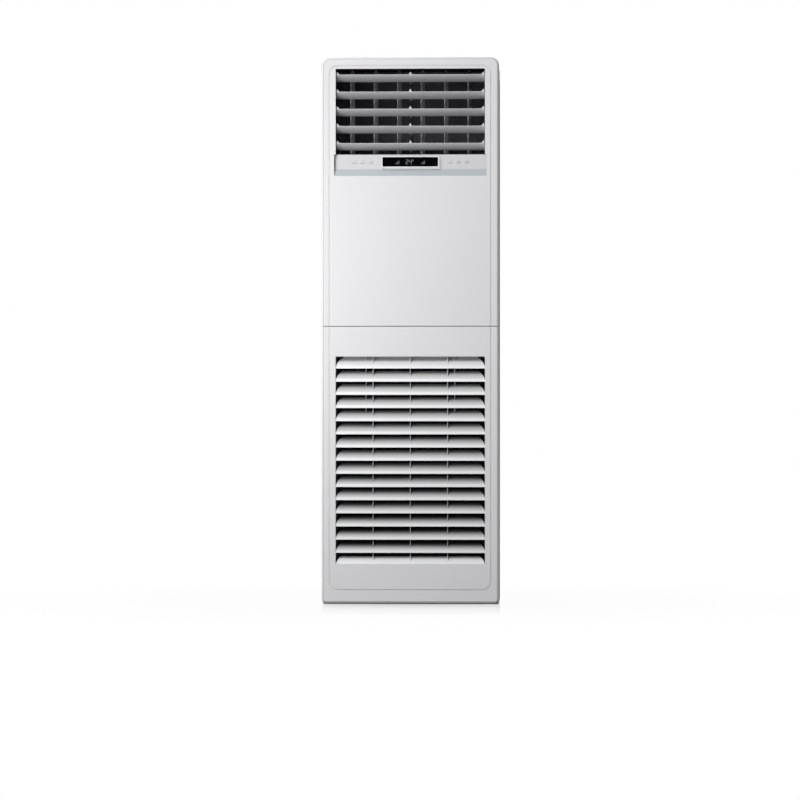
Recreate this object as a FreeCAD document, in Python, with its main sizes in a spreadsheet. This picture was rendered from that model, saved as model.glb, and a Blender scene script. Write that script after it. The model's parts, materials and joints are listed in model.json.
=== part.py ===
import FreeCAD, Part
import math
import os
from types import SimpleNamespace

import Sketcher
from FreeCAD import Placement, Rotation, Vector

# Floor standing fan coil unit: a tall cabinet that draws air in through a slatted lower front panel,
# lifts it with a centrifugal blower through a leaning finned coil, and blows it out through swinging
# vanes at the top. Millimetres, +Z up, front towards -Y, origin on the floor under the middle.

SIZES = [
    ("width", 600, "overall width of the front moulding"),
    ("height", 1850, "overall height"),
    ("depth", 350, "overall depth"),
    ("panel_depth", 34, "depth of both front mouldings"),
    ("panel_wall", 3, "wall of the front mouldings"),
    ("seam_height", 939, "floor to the top edge of the intake panel"),
    ("seam_gap", 2.5, "gap between the two front panels"),
    ("floor_gap", 4, "floor to the lower edge of panels"),
    ("corner_top", 28, "corner radius at the top, seen from the front"),
    ("corner_foot", 16, "corner radius at the foot, seen from the front"),
    ("edge_round", 8, "rounding of the front edges"),
    ("border", 25, "side of the front to the styling groove"),
    ("groove_top", 27, "top of the front to the styling groove"),
    ("groove_foot", 43, "foot of the intake panel to the styling groove"),
    ("groove_corner", 33, "corner radius of the styling groove"),
    ("groove_width", 4, "width of the styling groove"),
    ("groove_depth", 2, "depth of the styling groove"),
    ("seat_gap", 0.3, "gap between pieces that seat on each other"),
    ("running_gap", 0.05, "radial clearance of pins in their bores"),
    ("sheet", 1.2, "thickness of the cabinet sheet steel"),
    ("cabinet_inset", 2, "sheet cabinet set in from the front moulding"),
    ("strip_front", 18, "width of the front corner strips"),
    ("strip_rear", 12, "width of the rear corner strips"),
    ("cover_height", 60, "height of the top cover"),
    ("cover_wall", 1.8, "wall of the top cover"),
    ("base_height", 50, "height of the base rim"),
    ("base_wall", 2, "thickness of the base pan"),
    ("anchor_span_x", 440, "floor anchor spacing across"),
    ("anchor_span_y", 220, "floor anchor spacing front to back"),
    ("anchor_radius", 6, "floor anchor hole radius"),
    ("rail_height", 44, "height of the cross rail behind the panel seam"),
    ("rail_depth", 14, "depth of the cross rail"),
    ("outlet_side", 47.5, "side of the front to the air outlet"),
    ("outlet_height", 290, "height of the air outlet"),
    ("outlet_top", 39, "top of the unit to the air outlet"),
    ("lip_wall", 3, "wall of the return lips round both openings"),
    ("duct_setback", 18, "front face to the outlet duct"),
    ("duct_depth", 132, "length of the outlet duct"),
    ("duct_wall", 6, "wall of the outlet duct"),
    ("strip_height", 50, "height of the control strip"),
    ("strip_side", 5, "control strip beyond the outlet at each side"),
    ("strip_recess", 12, "control strip behind the front face"),
    ("strip_wall", 2.5, "wall of the control strip"),
    ("ledge_height", 22, "height of the sloping ledge below the control strip"),
    ("ledge_proud", 0.5, "lower edge of the ledge behind the front face"),
    ("display_width", 188, "width of the display window"),
    ("display_height", 32, "height of the display window"),
    ("display_thick", 4, "thickness of the display window"),
    ("display_proud", 0.5, "display window in front of the strip"),
    ("board_margin", 6, "display board beyond the window"),
    ("board_thick", 1.6, "thickness of the display board"),
    ("button_width", 18, "width of a button"),
    ("button_height", 9, "height of a button"),
    ("button_depth", 8, "length of a button"),
    ("button_proud", 1.5, "button in front of the strip"),
    ("button_first", 134, "middle of the unit to the nearest button"),
    ("button_pitch", 28, "button spacing"),
    ("vane_chord", 44, "width of a horizontal vane, front to back"),
    ("vane_thick", 2.4, "thickness of a horizontal vane"),
    ("vane_camber", 5, "sag of a horizontal vane's curve"),
    ("vane_drop", 6, "middle of a vane's bay down to its pivot"),
    ("vane_setback", 26, "front face to the horizontal vane pivots"),
    ("vane_tilt", 28, "upward tilt of the horizontal vanes at rest, degrees"),
    ("vane_end_gap", 1.5, "horizontal vane end to the duct wall"),
    ("pivot_radius", 3, "radius of the vane pivots"),
    ("pivot_length", 5, "pivot length inside the duct wall"),
    ("ear_reach", 6.5, "vane edge to the link pin"),
    ("ear_thick", 3, "thickness of the link ears"),
    ("ear_radius", 4, "end radius of the link ears"),
    ("link_pin", 2, "radius of the link pins"),
    ("link_width", 5, "width of the link bars"),
    ("link_thick", 3, "thickness of the link bars"),
    ("link_end", 4, "link bar beyond its last pin"),
    ("blade_margin", 53.5, "side of the outlet to the first upright blade"),
    ("blade_chord", 50, "width of an upright blade, front to back"),
    ("blade_thick", 3, "thickness of an upright blade"),
    ("blade_yaw", 12, "turn of the upright blades to the left at rest, degrees"),
    ("blade_setback", 92, "front face to the upright blade pivots"),
    ("blade_end_gap", 1.5, "upright blade end to the duct wall"),
    ("blade_corner", 8, "corner cut of an upright blade"),
    ("blade_link_height", 26, "foot of an upright blade to its link ear"),
    ("swing_motor_radius", 14, "radius of the swing motors"),
    ("swing_motor_length", 18, "length of the swing motors"),
    ("intake_side", 47.5, "side of the front to the air intake"),
    ("intake_low", 137, "floor to the air intake"),
    ("intake_top", 101, "panel seam to the air intake"),
    ("slat_lip", 11, "height of a slat's front lip"),
    ("slat_lean", 4, "foot of a slat's lip in front of its top"),
    ("slat_rise", 36, "height of a slat"),
    ("slat_run", 30, "depth of a slat"),
    ("slat_bulge", 3, "rise of a slat's curve over a straight slope"),
    ("slat_wall", 2.2, "wall of a slat"),
    ("slat_setback", 1, "front face to the slat lips"),
    ("slat_end_taper", 25, "how far the slat ends draw in at the back"),
    ("slat_drop", 7, "lowest slat below the intake's edge"),
    ("slat_head", 4.5, "top slat to the intake's upper edge"),
    ("rib_offset", 126, "middle rib to the outer ribs of the intake"),
    ("clip_offset", 150, "middle rib to the short ribs of the intake"),
    ("clip_height", 190, "length of the short ribs"),
    ("clip_setback", 16, "front face to the short ribs"),
    ("rib_wall", 2.5, "wall of the intake ribs"),
    ("rib_setback", 9, "front face to the intake ribs"),
    ("filter_thick", 8, "thickness of the air filter"),
    ("filter_overlap", 10, "filter frame beyond the intake"),
    ("filter_rim", 14, "width of the filter frame"),
    ("mesh_thick", 1, "thickness of the filter mesh"),
    ("hinge_setback", 12, "front face to the intake panel hinge"),
    ("hinge_height", 24, "floor to the intake panel hinge"),
    ("hinge_pin", 4, "radius of the hinge pins"),
    ("hinge_ear", 7, "end radius of the hinge ears"),
    ("hinge_ear_wall", 6, "thickness of the hinge ears"),
    ("hinge_bracket_wall", 4, "thickness of the hinge brackets"),
    ("hinge_side", 100, "side of the front to a hinge"),
    ("heel_cut", 14, "depth of the relief at the heel of the intake panel"),
    ("catch_size", 20, "width of a panel catch"),
    ("catch_side", 70, "side of the front to a panel catch"),
    ("liner_thick", 4, "thickness of the foam lining"),
    ("liner_rise", 160, "deck to the foam lining"),
    ("deck_height", 900, "floor to the deck over the blower"),
    ("blower_x", 30, "blower axis right of the middle"),
    ("blower_height", 380, "floor to the blower axis"),
    ("blower_setback", 90, "front face to the blower scroll"),
    ("wheel_radius", 165, "radius of the blower wheel"),
    ("wheel_width", 160, "width of the blower wheel"),
    ("wheel_plate", 3, "thickness of the wheel's back plate"),
    ("eye_radius", 140, "radius of the blower wheel's eye"),
    ("wheel_ring", 6, "width of the wheel's front ring"),
    ("blade_sheet", 2, "thickness of a blower blade"),
    ("hub_radius", 22, "radius of the wheel hub"),
    ("hub_length", 40, "length of the wheel hub"),
    ("wheel_gap", 8, "blower wheel to the scroll, front and back"),
    ("scroll_gap", 13, "blower wheel to the scroll at its tongue"),
    ("scroll_growth", 28, "growth of the scroll radius each quarter turn"),
    ("scroll_sheet", 2, "thickness of the scroll sheet"),
    ("bell_radius", 25, "radius of the inlet bell's curve"),
    ("bell_wall", 2.5, "wall of the inlet bell"),
    ("shaft_radius", 8, "radius of the blower shaft"),
    ("motor_radius", 70, "radius of the blower motor"),
    ("motor_length", 66, "length of the blower motor"),
    ("motor_flange", 95, "radius of the motor flange"),
    ("motor_flange_thick", 4, "thickness of the motor flange"),
    ("motor_round", 10, "edge rounding of the blower motor"),
    ("coil_side", 50, "side of the front to the finned block"),
    ("coil_run", 240, "how far the coil leans back"),
    ("coil_rise", 650, "upright height of the leaning coil"),
    ("coil_thick", 44, "thickness of the coil, two tube rows"),
    ("coil_foot", 50, "deck to the front foot of the coil"),
    ("coil_setback", 57, "front face to the front foot of the coil"),
    ("coil_plate", 2, "thickness of the coil end plates"),
    ("fin_pitch", 10, "fin spacing"),
    ("fin_thick", 0.5, "thickness of a fin"),
    ("tube_radius", 4.8, "radius of the coil tubes"),
    ("tube_pitch", 60, "coil tube spacing along the lean"),
    ("tube_end", 6, "coil tube beyond its end plate"),
    ("pan_depth", 76, "front to back size of the drain pan"),
    ("pan_height", 32, "height of the drain pan"),
    ("pan_wall", 2, "wall of the drain pan"),
    ("pan_clear", 4, "drain pan to the coil end plates"),
    ("drain_radius", 8, "radius of the drain pipe"),
    ("drain_side", 100, "side of the front to the drain pipe"),
    ("pipe_radius", 8, "radius of the water pipes"),
    ("pipe_wall", 1, "wall of the water and drain pipes"),
    ("pipe_bend", 12, "bend radius of the water pipes"),
    ("pipe_out", 14, "water pipe beyond the coil tube ends"),
    ("grommet_wall", 4, "wall of the pipe grommets"),
    ("grommet_depth", 6, "depth of the pipe grommets"),
    ("box_width", 66, "width of the control box"),
    ("box_depth", 150, "depth of the control box"),
    ("box_height", 250, "height of the control box"),
    ("box_low", 580, "floor to the control box"),
    ("box_setback", 140, "front face to the control box"),
    ("terminal_height", 60, "height of the terminal block"),
    ("terminal_depth", 22, "depth of the terminal block"),
    ("terminal_width", 30, "width of the terminal block"),
    ("capacitor_radius", 18, "radius of the run capacitor"),
    ("capacitor_length", 90, "length of the run capacitor"),
    ("screw_head", 4, "head radius of the cabinet screws"),
    ("screw_head_thick", 2, "head thickness of the cabinet screws"),
    ("screw_shank", 2, "shank radius of the cabinet screws"),
]

VANES = 5
BLADES = 6
BUTTONS_PER_SIDE = 3
SLATS = 16
BLOWER_BLADES = 36

doc = FreeCAD.newDocument("FanCoilUnit")
sheet = doc.addObject("Spreadsheet::Sheet", "Sizes")
for row, (alias, amount, meaning) in enumerate(SIZES, 1):
    sheet.set(f"A{row}", meaning)
    sheet.set(f"B{row}", str(amount))
    sheet.setAlias(f"B{row}", alias)
doc.recompute()


class Size:
    """A length with two faces: its number, and the formula on the sheet's cells that gives it."""

    def __init__(self, text, value):
        self.text = text
        self.value = float(value)

    def __float__(self):
        return self.value

    def __add__(self, other):
        return Size(f"({self.text} + {formula(other)})", self.value + float(other))

    def __radd__(self, other):
        return Size(f"({formula(other)} + {self.text})", float(other) + self.value)

    def __sub__(self, other):
        return Size(f"({self.text} - {formula(other)})", self.value - float(other))

    def __rsub__(self, other):
        return Size(f"({formula(other)} - {self.text})", float(other) - self.value)

    def __mul__(self, other):
        return Size(f"({self.text} * {formula(other)})", self.value * float(other))

    def __rmul__(self, other):
        return Size(f"({formula(other)} * {self.text})", float(other) * self.value)

    def __truediv__(self, other):
        return Size(f"({self.text} / {formula(other)})", self.value / float(other))

    def __neg__(self):
        return Size(f"(-1 * {self.text})", -self.value)


def formula(amount):
    return amount.text if isinstance(amount, Size) else repr(float(amount))


def root(amount):
    return Size(f"sqrt({amount.text})", math.sqrt(amount.value))


def sine(angle):
    return Size(f"sin({angle.text} * 1 deg)", math.sin(math.radians(angle.value)))


def cosine(angle):
    return Size(f"cos({angle.text} * 1 deg)", math.cos(math.radians(angle.value)))


S = SimpleNamespace(**{alias: Size(f"Sizes.{alias}", sheet.get(alias)) for alias, _, _ in SIZES})


# Shared places, all worked out from the sizes above
half = S.width / 2
front = -S.depth / 2
rear = S.depth / 2 - S.screw_head_thick
panel_back = front + S.panel_depth
skin_back = front + S.panel_wall
side_out = half - S.cabinet_inset
side_in = side_out - S.sheet
cabinet_front = panel_back + S.seat_gap
inner_front = cabinet_front + S.sheet
back_inside = rear - S.sheet
inner_rear = back_inside - S.sheet
cover_top = S.height - S.cabinet_inset
cover_low = cover_top - S.cover_height
upper_low = S.seam_height + S.seam_gap
outlet_high = S.height - S.outlet_top
outlet_low = outlet_high - S.outlet_height
outlet_half = half - S.outlet_side
outlet_width = 2 * outlet_half
strip_face = front + S.strip_recess
strip_low = outlet_low - S.strip_height
ledge_low = strip_low - S.ledge_height
strip_half = outlet_half + S.strip_side
strip_middle = outlet_low - S.strip_height / 2
duct_front = front + S.duct_setback
duct_back = duct_front + S.duct_depth
intake_half = half - S.intake_side
intake_high = S.seam_height - S.intake_top
intake_height = intake_high - S.intake_low
hinge_y = front + S.hinge_setback
deck_top = S.deck_height + S.sheet
scroll_front = front + S.blower_setback
scroll_depth = S.wheel_width + 2 * S.wheel_gap + 2 * S.scroll_sheet
scroll_back = scroll_front + scroll_depth
coil_length = root(S.coil_run * S.coil_run + S.coil_rise * S.coil_rise)
coil_y = front + S.coil_setback
coil_z = deck_top + S.coil_foot
coil_half = half - S.coil_side
drain_x = half - S.drain_side
hinge_x = half - S.hinge_side
catch_x = half - S.catch_side
plate_out = coil_half + S.coil_plate


# Building helpers
def bind(thing, path, amount):
    thing.setExpression(path, formula(amount))


def place(thing, x=0, y=0, z=0):
    """Tie a piece's position to the sheet."""
    for axis, amount in zip("xyz", (x, y, z)):
        bind(thing, f"Placement.Base.{axis}", amount)
    return thing


def block(label, x, y, z):
    """A box between two limits along each axis."""
    box = doc.addObject("Part::Box", label)
    for side, (low, high) in zip(("Length", "Width", "Height"), (x, y, z)):
        bind(box, side, high - low)
    return place(box, x[0], y[0], z[0])


def rod(label, radius, length, start, axis):
    """A cylinder from start along the unit axis."""
    cylinder = doc.addObject("Part::Cylinder", label)
    cylinder.Placement = Placement(Vector(), Rotation(Vector(0, 0, 1), Vector(*axis)))
    bind(cylinder, "Radius", radius)
    bind(cylinder, "Height", length)
    return place(cylinder, *start)


def fuse(label, pieces):
    union = doc.addObject("Part::MultiFuse", label)
    union.Shapes = pieces
    return union


def cut(label, base, tools):
    difference = doc.addObject("Part::Cut", label)
    difference.Base = base
    difference.Tool = tools[0] if len(tools) == 1 else fuse(label + "_tools", tools)
    return difference


def group(label, pieces):
    """Separate like solids under one name."""
    compound = doc.addObject("Part::Compound", label)
    compound.Links = pieces
    return compound


def new_body(label):
    return doc.addObject("PartDesign::Body", label)


def new_sketch(body, plane, offset):
    """A sketch on one of the body's own origin planes, moved along that plane's normal."""
    sketch = body.newObject("Sketcher::SketchObject", body.Label + "_sketch")
    support = [f for f in body.Origin.OriginFeatures if f.Role == plane + "_Plane"][0]
    sketch.AttachmentSupport = [(support, "")]
    sketch.MapMode = "FlatFace"
    bind(sketch, "AttachmentOffset.Base.z", offset)
    return sketch


def from_front(body, y):
    """A sketch seen from the front, X to the right and Z up, at depth y. Its normal is -Y."""
    return new_sketch(body, "XZ", -y)


def from_side(body, x):
    """A sketch seen from the right-hand side, Y and Z, at x. Its normal is +X."""
    return new_sketch(body, "YZ", x)


def from_above(body, z):
    """A sketch in X and Y at height z. Its normal is +Z."""
    return new_sketch(body, "XY", z)


def outline(sketch, corners):
    """Draw a closed outline. A corner is (u, v) for a straight run to it, or
    (u, v, centre_u, centre_v, turn) for an arc to it, turn 1 anticlockwise and -1 clockwise.
    Each corner is tied to the sheet, and each arc by one coordinate of its centre."""
    first = sketch.GeometryCount
    count = len(corners)
    for index, corner in enumerate(corners):
        start = Vector(float(corners[index - 1][0]), float(corners[index - 1][1]), 0)
        end = Vector(float(corner[0]), float(corner[1]), 0)
        if len(corner) == 2:
            sketch.addGeometry(Part.LineSegment(start, end))
            continue
        centre = Vector(float(corner[2]), float(corner[3]), 0)
        low, high = (start, end) if corner[4] > 0 else (end, start)
        circle = Part.Circle(centre, Vector(0, 0, 1), (start - centre).Length)
        angles = [math.atan2((p - centre).y, (p - centre).x) for p in (low, high)]
        sketch.addGeometry(Part.ArcOfCircle(circle, angles[0], angles[1]))

    def ends(index):
        """The start and end point numbers of a run, as it is drawn round the outline."""
        corner = corners[index % count]
        return (1, 2) if len(corner) == 2 or corner[4] > 0 else (2, 1)

    for index, corner in enumerate(corners):
        here = first + index
        after = first + (index + 1) % count
        tail = ends(index)[1]
        head = ends(index + 1)[0]
        sketch.addConstraint(Sketcher.Constraint("Coincident", here, tail, after, head))
        tie_point(sketch, here, tail, corner[0], corner[1])
    for index, corner in enumerate(corners):
        if len(corner) > 2:
            start = corners[index - 1]
            wide = abs(float(corner[0]) - float(start[0])) > abs(float(corner[1]) - float(start[1]))
            tie_centre(sketch, first + index, corner, wide)
    return sketch


def tie_point(sketch, geometry, point, u, v):
    for kind, amount in (("DistanceX", u), ("DistanceY", v)):
        number = sketch.addConstraint(Sketcher.Constraint(kind, -1, 1, geometry, point, float(amount)))
        bind(sketch, f"Constraints[{number}]", amount)


def tie_centre(sketch, geometry, corner, wide):
    """Fix the centre coordinate that lies across the arc's chord."""
    kind, amount = ("DistanceY", corner[3]) if wide else ("DistanceX", corner[2])
    number = sketch.addConstraint(Sketcher.Constraint(kind, -1, 1, geometry, 3, float(amount)))
    bind(sketch, f"Constraints[{number}]", amount)


def rectangle(sketch, u, v):
    return outline(sketch, [(u[0], v[0]), (u[1], v[0]), (u[1], v[1]), (u[0], v[1])])


def disc(sketch, u, v, radius):
    """A full circle, tied by its centre and radius."""
    number = sketch.addGeometry(Part.Circle(Vector(float(u), float(v), 0), Vector(0, 0, 1), float(radius)))
    tie_point(sketch, number, 3, u, v)
    size = sketch.addConstraint(Sketcher.Constraint("Radius", number, float(radius)))
    bind(sketch, f"Constraints[{size}]", radius)
    return sketch


def feature(body, kind, sketch, length, against=False, both=False):
    """Pad or pocket a sketch. A pad follows the sketch's normal and a pocket goes against it,
    unless against turns it round; both spreads it to the two sides."""
    doc.recompute()
    step = body.newObject("PartDesign::" + kind, body.Label + "_" + kind.lower())
    step.Profile = sketch
    step.Reversed = against
    step.Midplane = both
    bind(step, "Length", length)
    doc.recompute()
    return step


def pad(body, sketch, length, against=False, both=False):
    return feature(body, "Pad", sketch, length, against, both)


def pocket(body, sketch, length, against=False, both=False):
    """Cut a pocket, and make sure that it took something away."""
    before = body.Shape.Volume
    step = feature(body, "Pocket", sketch, length, against, both)
    if body.Shape.Volume > before - 1e-6:
        raise RuntimeError(f"a pocket of {body.Label} cuts nothing")
    return step


def fillet(body, picked, radius):
    """Round the edges of the body that picked() accepts."""
    base = body.Tip
    names = [f"Edge{n}" for n, edge in enumerate(base.Shape.Edges, 1) if picked(edge)]
    step = body.newObject("PartDesign::Fillet", body.Label + "_fillet")
    step.Base = (base, names)
    bind(step, "Radius", radius)
    doc.recompute()
    return step


def shape_piece(label, shape, placement=None):
    """A piece whose shape is worked out from the sheet's numbers."""
    piece = doc.addObject("Part::Feature", label)
    piece.Shape = shape
    if placement:
        piece.Placement = placement
    return piece


# Outlines that several pieces share
def arch(sketch, half_width, low, high, radius):
    """A rectangle whose two top corners are rounded."""
    centre = half_width - radius
    return outline(sketch, [
        (-half_width, low),
        (half_width, low),
        (half_width, high - radius),
        (centre, high, centre, high - radius, 1),
        (-centre, high),
        (-half_width, high - radius, -centre, high - radius, 1),
    ])


def sill(sketch, half_width, low, high, radius):
    """A rectangle whose two lower corners are rounded."""
    centre = half_width - radius
    return outline(sketch, [
        (-half_width, high),
        (-half_width, low + radius),
        (-centre, low, -centre, low + radius, 1),
        (centre, low),
        (half_width, low + radius, centre, low + radius, 1),
        (half_width, high),
    ])


def groove_band(sketch, open_z, end_z, way):
    """The U-shaped styling groove: open at the panel seam, rounded at its far end.
    way is 1 where that end is at the top and -1 where it is at the foot."""
    outer = half - S.border
    inner = outer - S.groove_width
    centre = outer - S.groove_corner
    bend = end_z - way * S.groove_corner
    near = end_z - way * S.groove_width
    return outline(sketch, [
        (outer, open_z),
        (outer, bend),
        (centre, end_z, centre, bend, way),
        (-centre, end_z),
        (-outer, bend, -centre, bend, way),
        (-outer, open_z),
        (-inner, open_z),
        (-inner, bend),
        (-centre, near, -centre, bend, -way),
        (centre, near),
        (inner, bend, centre, bend, -way),
        (inner, open_z),
    ])


def stadium(sketch, u, v, width, height):
    """A slot with round ends."""
    radius = height / 2
    run = width / 2 - radius
    return outline(sketch, [
        (u + run, v - radius),
        (u + run, v + radius, u + run, v, 1),
        (u - run, v + radius),
        (u - run, v - radius, u - run, v, 1),
    ])


def ear_outline(sketch, root_u, tip_u, v, radius):
    """A flat ear that runs from root_u to a round end about tip_u."""
    return outline(sketch, [
        (root_u, v - radius),
        (tip_u, v - radius),
        (tip_u, v + radius, tip_u, v, 1),
        (root_u, v + radius),
    ])


def lies_on(edge, axis, amount):
    """True for an edge that lies in the plane across axis at amount."""
    box = edge.BoundBox
    low = getattr(box, axis + "Min")
    high = getattr(box, axis + "Max")
    return abs(low - float(amount)) < 0.01 and abs(high - float(amount)) < 0.01


# Cabinet
SCREWS_PER_SIDE = 5
screw_x = side_in - S.strip_rear / 2
screw_low = S.floor_gap + S.cover_height
screw_pitch = (cover_low - S.cover_height - screw_low) / (SCREWS_PER_SIDE - 1)
pipe_x = plate_out + S.tube_end + S.pipe_out
drain_z = deck_top + S.drain_radius + 2 * S.pan_wall


def coil_point(across, along):
    """Y and Z of a point of the leaning coil, across its thickness and along its lean."""
    lean_sine = S.coil_run / coil_length
    lean_cosine = S.coil_rise / coil_length
    y = coil_y + across * lean_cosine + along * lean_sine
    z = coil_z - across * lean_sine + along * lean_cosine
    return y, z


front_row = S.coil_thick / 4
back_row = S.coil_thick * 3 / 4
supply_y, supply_z = coil_point(back_row, S.tube_pitch / 2)
return_y, return_z = coil_point(front_row, S.tube_pitch)
PORTS = [
    (pipe_x, supply_z, S.pipe_radius),
    (pipe_x, return_z, S.pipe_radius),
    (drain_x, drain_z, S.drain_radius),
]


def base_pan():
    """Flat steel base that stands on the floor, with four anchor holes."""
    body = new_body("base_pan")
    plate = rectangle(from_above(body, 0), (-side_in, side_in), (inner_front, inner_rear))
    for x in (-1, 1):
        for y in (-1, 1):
            disc(plate, x * S.anchor_span_x / 2, y * S.anchor_span_y / 2, S.anchor_radius)
    pad(body, plate, S.base_wall)


def base_rim():
    """Four upright bars that stiffen the edge of the base and carry the cabinet."""
    wall = S.base_wall
    upright = (wall, S.base_height)
    across = (-side_in, side_in)
    between = (inner_front + wall, inner_rear - wall)
    group("base_rim", [
        block("base_bar_front", across, (inner_front, inner_front + wall), upright),
        block("base_bar_rear", across, (inner_rear - wall, inner_rear), upright),
        block("base_bar_left", (-side_in, wall - side_in), between, upright),
        block("base_bar_right", (side_in - wall, side_in), between, upright),
    ])


def side_panel(label, side):
    """Flat sheet side; side is 1 on the right, -1 on the left."""
    body = new_body(label)
    sheet_edge = rectangle(from_above(body, S.floor_gap), (side * side_in, side * side_out),
                           (cabinet_front, back_inside))
    pad(body, sheet_edge, cover_low - S.floor_gap)


def corner_strips():
    """Upright strips in the four corners: the front ones take the panels, the rear ones the back's screws."""
    strips = []
    for side, hand in ((-1, "left"), (1, "right")):
        ends = sorted((side * side_in, side * (side_in - S.strip_front)), key=float)
        upright = (S.floor_gap, cover_low)
        strips.append(block(f"front_strip_{hand}", ends, (cabinet_front, inner_front), upright))
        ends = sorted((side * side_in, side * (side_in - S.strip_rear)), key=float)
        strip = block(f"rear_strip_{hand}_sheet", ends, (inner_rear, back_inside), upright)
        holes = []
        radius = S.screw_shank + S.running_gap
        for n in range(SCREWS_PER_SIDE):
            start = (side * screw_x, inner_rear, screw_low + n * screw_pitch)
            holes.append(rod(f"strip_hole_{hand}_{n + 1}", radius, S.sheet, start, (0, 1, 0)))
        strips.append(cut(f"rear_strip_{hand}", strip, holes))
    group("corner_strips", strips)


def foam_liner():
    """Dark foam sheets inside the back and sides of the coil space."""
    low = deck_top + S.liner_rise
    upright = (low, cover_low - S.seat_gap)
    depth = (inner_front + S.seat_gap, inner_rear - S.seat_gap)
    reach = side_in - S.strip_rear - S.seat_gap
    group("foam_liner", [
        block("liner_back", (-reach, reach), (back_inside - S.liner_thick, back_inside), upright),
        block("liner_left", (-side_in, S.liner_thick - side_in), depth, upright),
        block("liner_right", (side_in - S.liner_thick, side_in), depth, upright),
    ])


def back_panel():
    """Flat sheet back with the pipe ports and the screw holes."""
    body = new_body("back_panel")
    pad(body, rectangle(from_front(body, rear), (-side_out, side_out), (S.floor_gap, cover_low)), S.sheet)
    holes = from_front(body, back_inside)
    for x, z, radius in PORTS:
        disc(holes, x, z, radius + S.grommet_wall + S.running_gap)
    for side in (-1, 1):
        for n in range(SCREWS_PER_SIDE):
            disc(holes, side * screw_x, screw_low + n * screw_pitch, S.screw_shank + S.running_gap)
    pocket(body, holes, S.sheet)


def cabinet_screws():
    """Pan head screws that hold the back to the rear flanges of the sides."""
    screws = []
    for side, hand in ((-1, "left"), (1, "right")):
        for n in range(SCREWS_PER_SIDE):
            name = f"screw_{hand}_{n + 1}"
            z = screw_low + n * screw_pitch
            head = rod(name + "_head", S.screw_head, S.screw_head_thick, (side * screw_x, rear, z), (0, 1, 0))
            shank = rod(name + "_shank", S.screw_shank, 3 * S.sheet, (side * screw_x, rear, z), (0, -1, 0))
            screws.append(fuse(name, [head, shank]))
    group("cabinet_screws", screws)


def top_cover():
    """Cap with rounded shoulders, open to the front and below."""
    body = new_body("top_cover")
    wall = S.cover_wall
    radius = S.corner_top - S.cabinet_inset
    length = rear - cabinet_front
    outer = arch(from_front(body, cabinet_front), side_out, cover_low, cover_top, radius)
    pad(body, outer, length, against=True)
    inner_top = cover_top - wall
    inner = arch(from_front(body, cabinet_front), side_out - wall, cover_low, inner_top, radius - wall)
    pocket(body, inner, length - wall)


def cross_rail():
    """Channel across the front behind the seam of the two panels."""
    body = new_body("cross_rail")
    low = S.seam_height - S.rail_height / 2
    high = S.seam_height + S.rail_height / 2
    back = inner_front + S.rail_depth
    web = inner_front + S.sheet
    channel = outline(from_side(body, 0), [
        (inner_front, low),
        (back, low),
        (back, low + S.sheet),
        (web, low + S.sheet),
        (web, high - S.sheet),
        (back, high - S.sheet),
        (back, high),
        (inner_front, high),
    ])
    pad(body, channel, 2 * side_in, both=True)


def grille_catches():
    """Two catch blocks on the cross rail that hold the top of the intake panel."""
    high = S.seam_height - S.panel_wall - S.seat_gap
    reach = (inner_front - S.catch_size / 2, inner_front)
    catches = []
    for side, hand in ((-1, "left"), (1, "right")):
        middle = side * catch_x
        across = (middle - S.catch_size / 2, middle + S.catch_size / 2)
        catches.append(block("catch_" + hand, across, reach, (high - S.catch_size / 2, high)))
    group("grille_catches", catches)


def deck():
    """Sheet deck that divides the blower space from the coil space, with the scroll's throat cut out."""
    body = new_body("fan_deck")
    outer = rectangle(from_above(body, S.deck_height), (-side_in, side_in), (inner_front, inner_rear))
    pad(body, outer, S.sheet)
    throat = from_above(body, S.deck_height)
    across = (S.blower_x - S.scroll_growth - scroll_radius(3), S.blower_x)
    rectangle(throat, across, (scroll_front + S.scroll_sheet, scroll_back - S.scroll_sheet))
    pocket(body, throat, S.sheet, against=True)


# Front mouldings
def upper_front_panel():
    """Moulded upper front: rounded shell, air outlet with return lips, and the control strip's opening."""
    body = new_body("upper_front_panel")
    wall = S.panel_wall
    lip = S.lip_wall
    shell = arch(from_front(body, front), half, upper_low, S.height, S.corner_top)
    pad(body, shell, S.panel_depth, against=True)
    fillet(body, lambda e: lies_on(e, "Y", front) and not lies_on(e, "Z", upper_low), S.edge_round)
    inside = from_front(body, panel_back)
    arch(inside, half - wall, upper_low + wall, S.height - wall, S.corner_top - wall)
    pocket(body, inside, S.panel_depth - wall, against=True)
    inner_low = upper_low + wall
    fillet(body, lambda e: lies_on(e, "Y", skin_back) and not lies_on(e, "Z", inner_low), S.edge_round - wall)
    opening = outline(from_front(body, front), [
        (-strip_half, ledge_low),
        (strip_half, ledge_low),
        (strip_half, outlet_low),
        (outlet_half, outlet_low),
        (outlet_half, outlet_high),
        (-outlet_half, outlet_high),
        (-outlet_half, outlet_low),
        (-strip_half, outlet_low),
    ])
    pocket(body, opening, wall)
    pocket(body, groove_band(from_front(body, front), upper_low, S.height - S.groove_top, 1), S.groove_depth)
    lips = outline(from_front(body, skin_back), [
        (outlet_half, outlet_low),
        (outlet_half + lip, outlet_low),
        (outlet_half + lip, outlet_high + lip),
        (-outlet_half - lip, outlet_high + lip),
        (-outlet_half - lip, outlet_low),
        (-outlet_half, outlet_low),
        (-outlet_half, outlet_high),
        (outlet_half, outlet_high),
    ])
    pad(body, lips, duct_front - skin_back, against=True)


slat_low = S.intake_low - S.slat_drop
slat_pitch = (intake_height + S.slat_drop - S.slat_rise - S.slat_head) / (SLATS - 1)


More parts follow.
